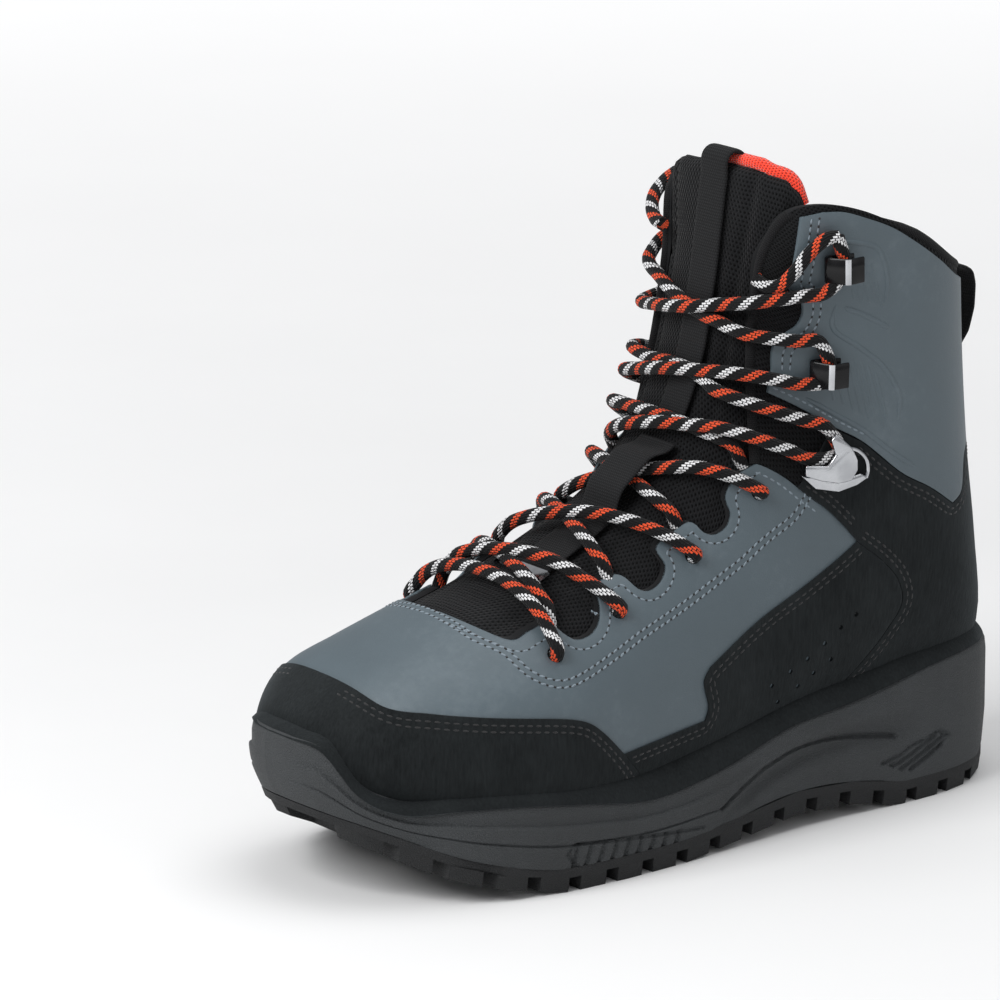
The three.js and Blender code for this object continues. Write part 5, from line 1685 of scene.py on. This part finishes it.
def tongue_grid():
    s = np.linspace(-1, 1, TONGUE_COLUMNS)
    fan = np.linspace(TONGUE_FOOT, 1.10, 200)
    limit = averaged(tongue_limits(fan), 4)
    turns = np.pi - s[None, :] * limit[:, None]
    points = bare_last(fan[:, None], turns)
    above = points[..., 2] > rise(TONGUE_TOP) - read_off(TONGUE_FALL, s)
    above[-1] = True
    top = averaged(fan[np.argmax(above, axis=0)], 1)
    r = np.linspace(0, 1, TONGUE_ROWS) ** 0.9
    at = TONGUE_FOOT + (top[None, :] - TONGUE_FOOT) * r[:, None]
    turn = np.pi - s[None, :] * np.interp(at, fan, limit)
    return s, r, at, turn


def build_tongue():
    s, r, at, turn = tongue_grid()
    side = np.abs(s)[None, :]
    up = r[:, None]
    thick = TONGUE / 2 * np.sqrt(np.clip(1 - side**7, 0, 1)) * np.sqrt(
        np.clip(1 - np.clip((up - 0.975) / 0.025, 0, 1) ** 2, 0.02, 1))
    thick = thick * np.sqrt(np.clip(np.minimum(1, up / 0.02 + 0.05), 0, 1))
    middle = -WALL - 0.0003 - TONGUE / 2
    upper_part = ease(up, 0.45, 0.6)
    channel = sum(share * bell(side, place, width) for place, width, share in TONGUE_CHANNELS)
    quilt = QUILT_HIGH * channel * upper_part + QUILT_LOW * channel * (1 - upper_part)
    cross_seam = sum(bell(up, row, 0.006) for row in TONGUE_SEAMS)
    quilt = quilt + SEAM_DEEP * cross_seam * (side > 0.42)
    outer = on_last(at, turn, middle + thick - quilt)
    inner = on_last(at, turn, middle - thick + 0.3 * quilt)
    rows = np.concatenate([outer, inner[:, ::-1]], axis=1)
    piece = grid("tongue_padded", rows, closed=True, capped=True)
    smooth(piece, 60)
    finish(piece, MESH, "tongue", "tongue")
    inside = slice(TONGUE_COLUMNS // 2, -2)
    edge = on_last(at[-1, inside] - 0.004, turn[-1, inside], middle - 0.0022)
    edge = through_points(edge[::2], 0.0015)
    lifted = np.interp(np.linspace(0, 1, len(edge)), (0, 0.1, 0.8, 1), (0.0006, 0.0031, 0.0027, 0.0))
    roll = tube("tongue_lining_roll", edge + lifted[:, None] * (0, 0, 1), ROLL, sides=14)
    finish(roll, RED_KNIT, "tongue")
    low = int(TONGUE_ROWS * LINED_FROM)
    lined = np.s_[low:-1, 2:-2]
    face, back = (on_last(at[lined], turn[lined], middle - thick[lined] + off) for off in (-0.0004, 0.0006))
    lining = grid("tongue_lining", np.concatenate([face, back[:, ::-1]], axis=1), closed=True, capped=True)
    smooth(lining, 60)
    finish(lining, RED_KNIT, "tongue")


RIM_BEND = 7


def rim_path(side):
    """The rim on one side, from the middle of the back to the low end at its front, with normals."""
    line = [(x * LENGTH - HEEL_SEAT, rise(z)) for x, z in RIM]
    xs, zs = zip(*line)
    places, normals = [], []
    for turn in np.radians(np.arange(0, 96, 4.0)):
        fan = np.linspace(0.80, 1.08, 200)
        points = bare_last(fan, side * turn)
        k = int(np.argmax(points[:, 2] > np.interp(points[:, 0], xs[:RIM_BEND + 1], zs[:RIM_BEND + 1])))
        if points[k, 0] > RIM[6][0] * LENGTH - HEEL_SEAT:
            break
        place, normal, _ = last_frame(fan[k], side * turn)
        places.append(place)
        normals.append(normal)
    tree = last_tree(0.0)
    for x, z in through_points(line[RIM_BEND:], 0.004)[1:]:
        hit, normal = from_side(tree, x, z, side)
        if hit is not None:
            places.append(np.array(hit))
            normals.append(np.array(normal) * (1 if normal.y * side > 0 else -1))
    return np.array(places), np.array(normals)


def at_reach(where, reach, points):
    """Points of a line read at distances along it."""
    return np.stack([np.interp(where, reach, points[:, k]) for k in range(3)], -1)


def reach_along(points):
    """The distance along a line at each of its points."""
    return np.concatenate([[0], np.cumsum(np.linalg.norm(np.diff(points, axis=0), axis=1))])


def smoothed(values, count):
    for _ in range(count):
        values = np.concatenate([values[:1], (values[:-2] + 2 * values[1:-1] + values[2:]) / 4, values[-1:]])
    return values


BINDING_ROUND = 0.0020
PAD_FRONT = (0.055, 0.100)  # where the padding narrows, as distances from the rim's front ends
PAD_REACH = (0.045, 0.015)  # how far it goes down at the back and at those ends
PAD_SWELL = (0.0036, 0.0048)
PAD_MIDDLE = WALL + 0.0036


def build_collar():
    outer, outer_normals = rim_path(1)
    inner, inner_normals = rim_path(-1)
    path = np.concatenate([outer[::-1], inner[1:]])
    normals = np.concatenate([outer_normals[::-1], inner_normals[1:]])
    path = smoothed(path, 2)
    long = reach_along(path)
    even = np.linspace(0, long[-1], 240)
    path = at_reach(even, long, path)
    normals = at_reach(even, long, normals)
    normals = unit(smoothed(normals, 8))
    along = unit(np.gradient(smoothed(path, 6), axis=0))
    down = np.cross(along, normals)
    if down[len(down) // 2][2] > 0:
        down = -down
    binding = tube("collar_binding", path - normals * WALL / 2, BINDING_ROUND, sides=14, out=normals)
    finish(binding, BINDING, "collar_padding")
    ends = np.minimum(even, even[-1] - even)
    front = 1 - ease(ends, *PAD_FRONT)
    reach = (PAD_REACH[0] + (PAD_REACH[1] - PAD_REACH[0]) * front)[:, None, None]
    top = (0.0026 * front - 0.0006)[:, None, None]
    turns = 2 * np.pi * np.arange(28) / 28
    u = (1 - np.cos(turns)) / 2
    v = np.sin(turns) * np.abs(np.sin(turns)) ** -0.35
    v = np.where(np.isfinite(v), v, 0)
    swell = (PAD_SWELL[0] + (PAD_SWELL[1] - PAD_SWELL[0]) * front)[:, None, None]
    tree = last_tree(0.0)
    aim = path[:, None] + down[:, None] * (u[None, :, None] * reach - top)
    middle, facing = aim.copy(), np.broadcast_to(normals[:, None], aim.shape).copy()
    for i in range(aim.shape[0]):
        for k in range(aim.shape[1]):
            beyond = max(0.0, float(u[k] * reach[i, 0, 0] - top[i, 0, 0]))
            hit, normal, _, _ = tree.find_nearest(Vector(aim[i, k]))
            share = ease(beyond, 0.0, 0.006)
            middle[i, k] += (np.array(hit) - middle[i, k]) * share
            facing[i, k] += (np.array(normal) - facing[i, k]) * share
    facing = unit(facing)
    thin = np.where(u < 0.5, 1, 1.4 - 0.8 * u)[None, :, None]
    rows = middle + facing * (v[None, :, None] * swell * thin - PAD_MIDDLE)
    pad = grid("collar_pad", rows, closed=True, capped=True)
    smooth(pad, 60)
    finish(pad, PAD_MESH, "collar_padding", "collar_padding")


# Stitches: one is modelled and copied along each seam
bpy.ops.mesh.primitive_uv_sphere_add(segments=8, ring_count=6, radius=1)
STITCH = bpy.context.active_object
STITCH_POINTS = np.array([v.co for v in STITCH.data.vertices])
STITCH_FACES = [list(p.vertices) for p in STITCH.data.polygons]
bpy.data.objects.remove(STITCH)


EDGE_ON = 0.03


def on_side(tree, line, side):
    """Where a side view line meets a surface from one side: places and normals."""
    places, normals = [], []
    for x, z in line:
        hit, normal = from_side(tree, x, z, side)
        if hit is not None and normal.y * side > EDGE_ON:
            places.append(np.array(hit))
            normals.append(np.array(normal))
    return np.array(places), np.array(normals)


def beside(line, distance):
    """A line drawn at a distance to the left of another."""
    line = np.asarray(line, float)
    along = unit(smoothed(np.gradient(line, axis=0), 2))
    moved = line + np.stack([-along[:, 1], along[:, 0]], 1) * distance
    return smoothed(moved, 1)


def stitch_row(places, normals, pitch=0.0034, long=0.0024, wide=0.00042, sink=0.0001, skew=0.0,
               start=None):
    """The points and faces of a row of stitches along a line on a surface."""
    if len(places) < 3:
        return np.zeros((0, 3)), []
    reach = reach_along(places)
    at = np.arange(pitch / 2 if start is None else start, reach[-1], pitch)
    points, faces = [], []
    for middle in at:
        a, b, c = (at_reach(middle + step, reach, places) for step in (-0.0008, 0.0, 0.0008))
        out = unit(at_reach(middle, reach, normals))
        way = c - a
        if np.linalg.norm(way) < 1e-6 or np.linalg.norm(way) > 0.006:
            continue
        way -= out * (way @ out)
        way /= np.linalg.norm(way)
        across = np.cross(out, way)
        way, across = way + skew * across, across - skew * way
        basis = np.stack([way * long / 2, across * wide, out * wide * 0.8])
        first = len(points) * len(STITCH_POINTS)
        points.append(b - out * sink + STITCH_POINTS[:, [2, 0, 1]] @ basis)
        faces += [[first + i for i in face] for face in STITCH_FACES]
    return (np.concatenate(points) if points else np.zeros((0, 3))), faces


def stitched(name, rows, material, slot):
    """One piece from several rows of stitches."""
    points, faces, start = [], [], 0
    for row_points, row_faces in rows:
        points.append(row_points)
        faces += [[start + i for i in face] for face in row_faces]
        start += len(row_points)
    piece = made(name, np.concatenate(points), faces)
    outward(piece)
    smooth(piece, 80)
    finish(piece, material, slot)


def seam_rows(tree, line, side, distances, **size):
    return [stitch_row(*on_side(tree, beside(line, d), side), **size) for d in distances]


VAMP_SEAM = (
    (0.240, 180), (0.241, 165), (0.247, 152), (0.265, 140), (0.280, 127), (0.300, 120), (0.320, 117),
    (0.380, 118), (0.425, 119), (0.515, 117), (0.600, 112), (0.675, 107), (0.710, 108),
)


def vamp_seam(side, shift):
    """The double seam below the throat's edge, laid along the fan."""
    stops = through_points([(at * 100, turn / 3) for at, turn in VAMP_SEAM], 0.8)
    at, turn = stops[:, 0] / 100, np.radians(stops[:, 1] * 3)
    place, normal, _ = last_frame(at, turn if side > 0 else -turn)
    place = place + normal * QUARTER
    along = unit(np.gradient(place, axis=0))
    return place + np.cross(normal, along) * shift, normal


LEATHER_PITCH = 0.0030
LEATHER_STITCH = {"pitch": LEATHER_PITCH, "long": 0.0021}
# Dark dots at the needle holes between the stitches are painted shade in the holes.
NEEDLE_HOLE_SHADE = {"pitch": LEATHER_PITCH, "long": 0.0010, "wide": 0.00046, "start": 0.0030}
THROAT_SEAM = 0.0030
VAMP_SEAM_HALF = 0.0013
PANEL_SEAM = (0.0032, 0.0058)
NUBUCK_SEAM = (0.0024, 0.0046)
NUBUCK_SEAM_BELOW = (-0.0024, -0.0046)


def build_stitches():
    quarter_tree, rand_tree, counter_tree, panel_tree = (
        tree_of(piece) for piece in (quarter, rand, counter, panel))
    blue, black, hole_shades = [], [], []
    for side in (1, -1):
        throat = edge_line(side)[len(through_points(side_xz(RIM), STEP)) - 1:]
        blue += seam_rows(quarter_tree, throat, side, (-THROAT_SEAM,), **LEATHER_STITCH)
        hole_shades += seam_rows(quarter_tree, throat, side, (-THROAT_SEAM,), **NEEDLE_HOLE_SHADE)
        blue += seam_rows(quarter_tree, line_of(QUARTER_REAR)[:22], side, (THROAT_SEAM,), **LEATHER_STITCH)
        for shift in (-VAMP_SEAM_HALF, VAMP_SEAM_HALF):
            places, normals = vamp_seam(side, shift)
            blue.append(stitch_row(places, normals, pitch=LEATHER_PITCH, long=0.0022, skew=0.25))
            hole_shades.append(stitch_row(places, normals, **NEEDLE_HOLE_SHADE))
        front = line_of(PANEL_FRONT)
        blue += seam_rows(panel_tree, front, side, PANEL_SEAM, pitch=LEATHER_PITCH, long=0.0020)
        hole_shades += seam_rows(panel_tree, front, side, PANEL_SEAM, **NEEDLE_HOLE_SHADE)
        blue += seam_rows(panel_tree, line_of(PANEL_LOW[:4]), side, (-0.0026,), pitch=LEATHER_PITCH,
                          long=0.0022)
        for tree, line, distances in (
            (tree_of(band_outer if side > 0 else band_inner), line_of(BAND_TOP, (1, 4)), NUBUCK_SEAM),
            (rand_tree, line_of(RAND_TOP), NUBUCK_SEAM + NUBUCK_SEAM_BELOW),
            (rand_tree, line_of(RAND_REAR), NUBUCK_SEAM + NUBUCK_SEAM_BELOW),
            (counter_tree, line_of(BAND_REAR), NUBUCK_SEAM_BELOW),
            (counter_tree, line_of(COUNTER_FRONT[2:]), NUBUCK_SEAM_BELOW),
            (counter_tree, line_of(COUNTER_FRONT[:3]), NUBUCK_SEAM[:1]),
            (counter_tree, line_of(PANEL_LOW[3:], (3,)), NUBUCK_SEAM),
        ):
            black += seam_rows(tree, line, side, distances)
    stitched("leather_stitches", blue, BLUE_THREAD, "upper")
    # The needle holes' dark dots are painted shade.
    stitched("leather_needle_hole_shade", hole_shades, BLACK_THREAD_AND_SHADE, "upper")
    stitched("nubuck_stitches", black, BLACK_THREAD_AND_SHADE, "nubuck")


# The collar panel's emboss, as side view shares: frames and slanted ribs beside the hooks
EMBOSS_FRAMES = (
    ((0.323, 0.925), (0.300, 0.920), (0.274, 0.909), (0.266, 0.895), (0.259, 0.870), (0.255, 0.840),
     (0.257, 0.800)),
    ((0.321, 0.813), (0.324, 0.766), (0.290, 0.725), (0.259, 0.687), (0.240, 0.650), (0.231, 0.620),
     (0.232, 0.570)),
    ((0.313, 0.803), (0.280, 0.780), (0.249, 0.753)),
    ((0.355, 0.640), (0.320, 0.606), (0.280, 0.568), (0.235, 0.515), (0.200, 0.480)),
)
FRAME_RIDGE = 0.0011
RIB_RIDGE = 0.0007
RIBS_HIGH = (
    (0.288, 0.885, 0.268, 0.800), (0.280, 0.885, 0.259, 0.790), (0.289, 0.850, 0.278, 0.803),
    (0.297, 0.845, 0.288, 0.803), (0.304, 0.842, 0.298, 0.812),
)
RIBS_LOW = (
    (0.325, 0.668, 0.317, 0.625), (0.317, 0.674, 0.305, 0.616), (0.309, 0.690, 0.293, 0.604),
    (0.303, 0.705, 0.283, 0.594), (0.296, 0.708, 0.272, 0.582), (0.288, 0.704, 0.262, 0.568),
    (0.279, 0.694, 0.250, 0.556), (0.268, 0.680, 0.243, 0.556),
)


def build_emboss():
    tree = tree_of(panel)
    ridges = []
    for side in (1, -1):
        for frame_line in EMBOSS_FRAMES:
            ridges.append((*on_side(tree, line_of(frame_line), side), FRAME_RIDGE))
        for x0, z0, x1, z1 in RIBS_HIGH + RIBS_LOW:
            ridges.append((*on_side(tree, line_of(((x0, z0), (x1, z1))), side), RIB_RIDGE))
    pieces = []
    for places, normals, radius in ridges:
        if len(places) < 4:
            continue
        taper = radius * np.sqrt(np.clip(np.sin(np.linspace(0.02, np.pi - 0.02, len(places))) * 3, 0, 1))
        pieces.append(tube("ridge", places - normals * 0.0002, taper, sides=10, squash=0.55, out=normals))
    finish(joined("collar_emboss", pieces), LEATHER, "collar_leather")


PINHOLES = (
    (0.281, 0.219), (0.303, 0.199), (0.326, 0.174), (0.351, 0.151), (0.377, 0.134), (0.406, 0.115),
    (0.313, 0.139), (0.338, 0.119), (0.361, 0.100), (0.391, 0.078), (0.352, 0.066), (0.371, 0.035),
)
PINHOLE = 0.0010
PINHOLE_DEEP = 0.0017


def cut_pinholes():
    for side, band in ((1, band_outer), (-1, band_inner)):
        tree = tree_of(band)
        places, normals = on_side(tree, side_xz(PINHOLES), side)
        tools = [drill(place, normal, PINHOLE, PINHOLE_DEEP, 14) for place, normal in zip(places, normals)]
        cut(band, joined("pins", tools))
        smooth(band, 40)
        shades = [
            stitch_row(np.stack([place - (0.001, 0, 0), place, place + (0.001, 0, 0)]),
                       np.stack([normal] * 3), pitch=0.002, long=2.1 * PINHOLE, wide=1.05 * PINHOLE,
                       sink=0.0016)
            for place, normal in zip(places, normals)
        ]
        stitched("pinhole_shade_" + ("outer" if side > 0 else "inner"), shades, BLACK_THREAD_AND_SHADE, "nubuck")


build_webbing()
build_tongue()
build_collar()
build_stitches()
build_emboss()
cut_pinholes()


# The insole and the keeper bar keep the shapes that they come with
KEPT = {"insole": LINING, "keeper_bar": STEEL}
for name, material in KEPT.items():
    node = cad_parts[name]
    node.data.materials.clear()
    node.data.materials.append(material)
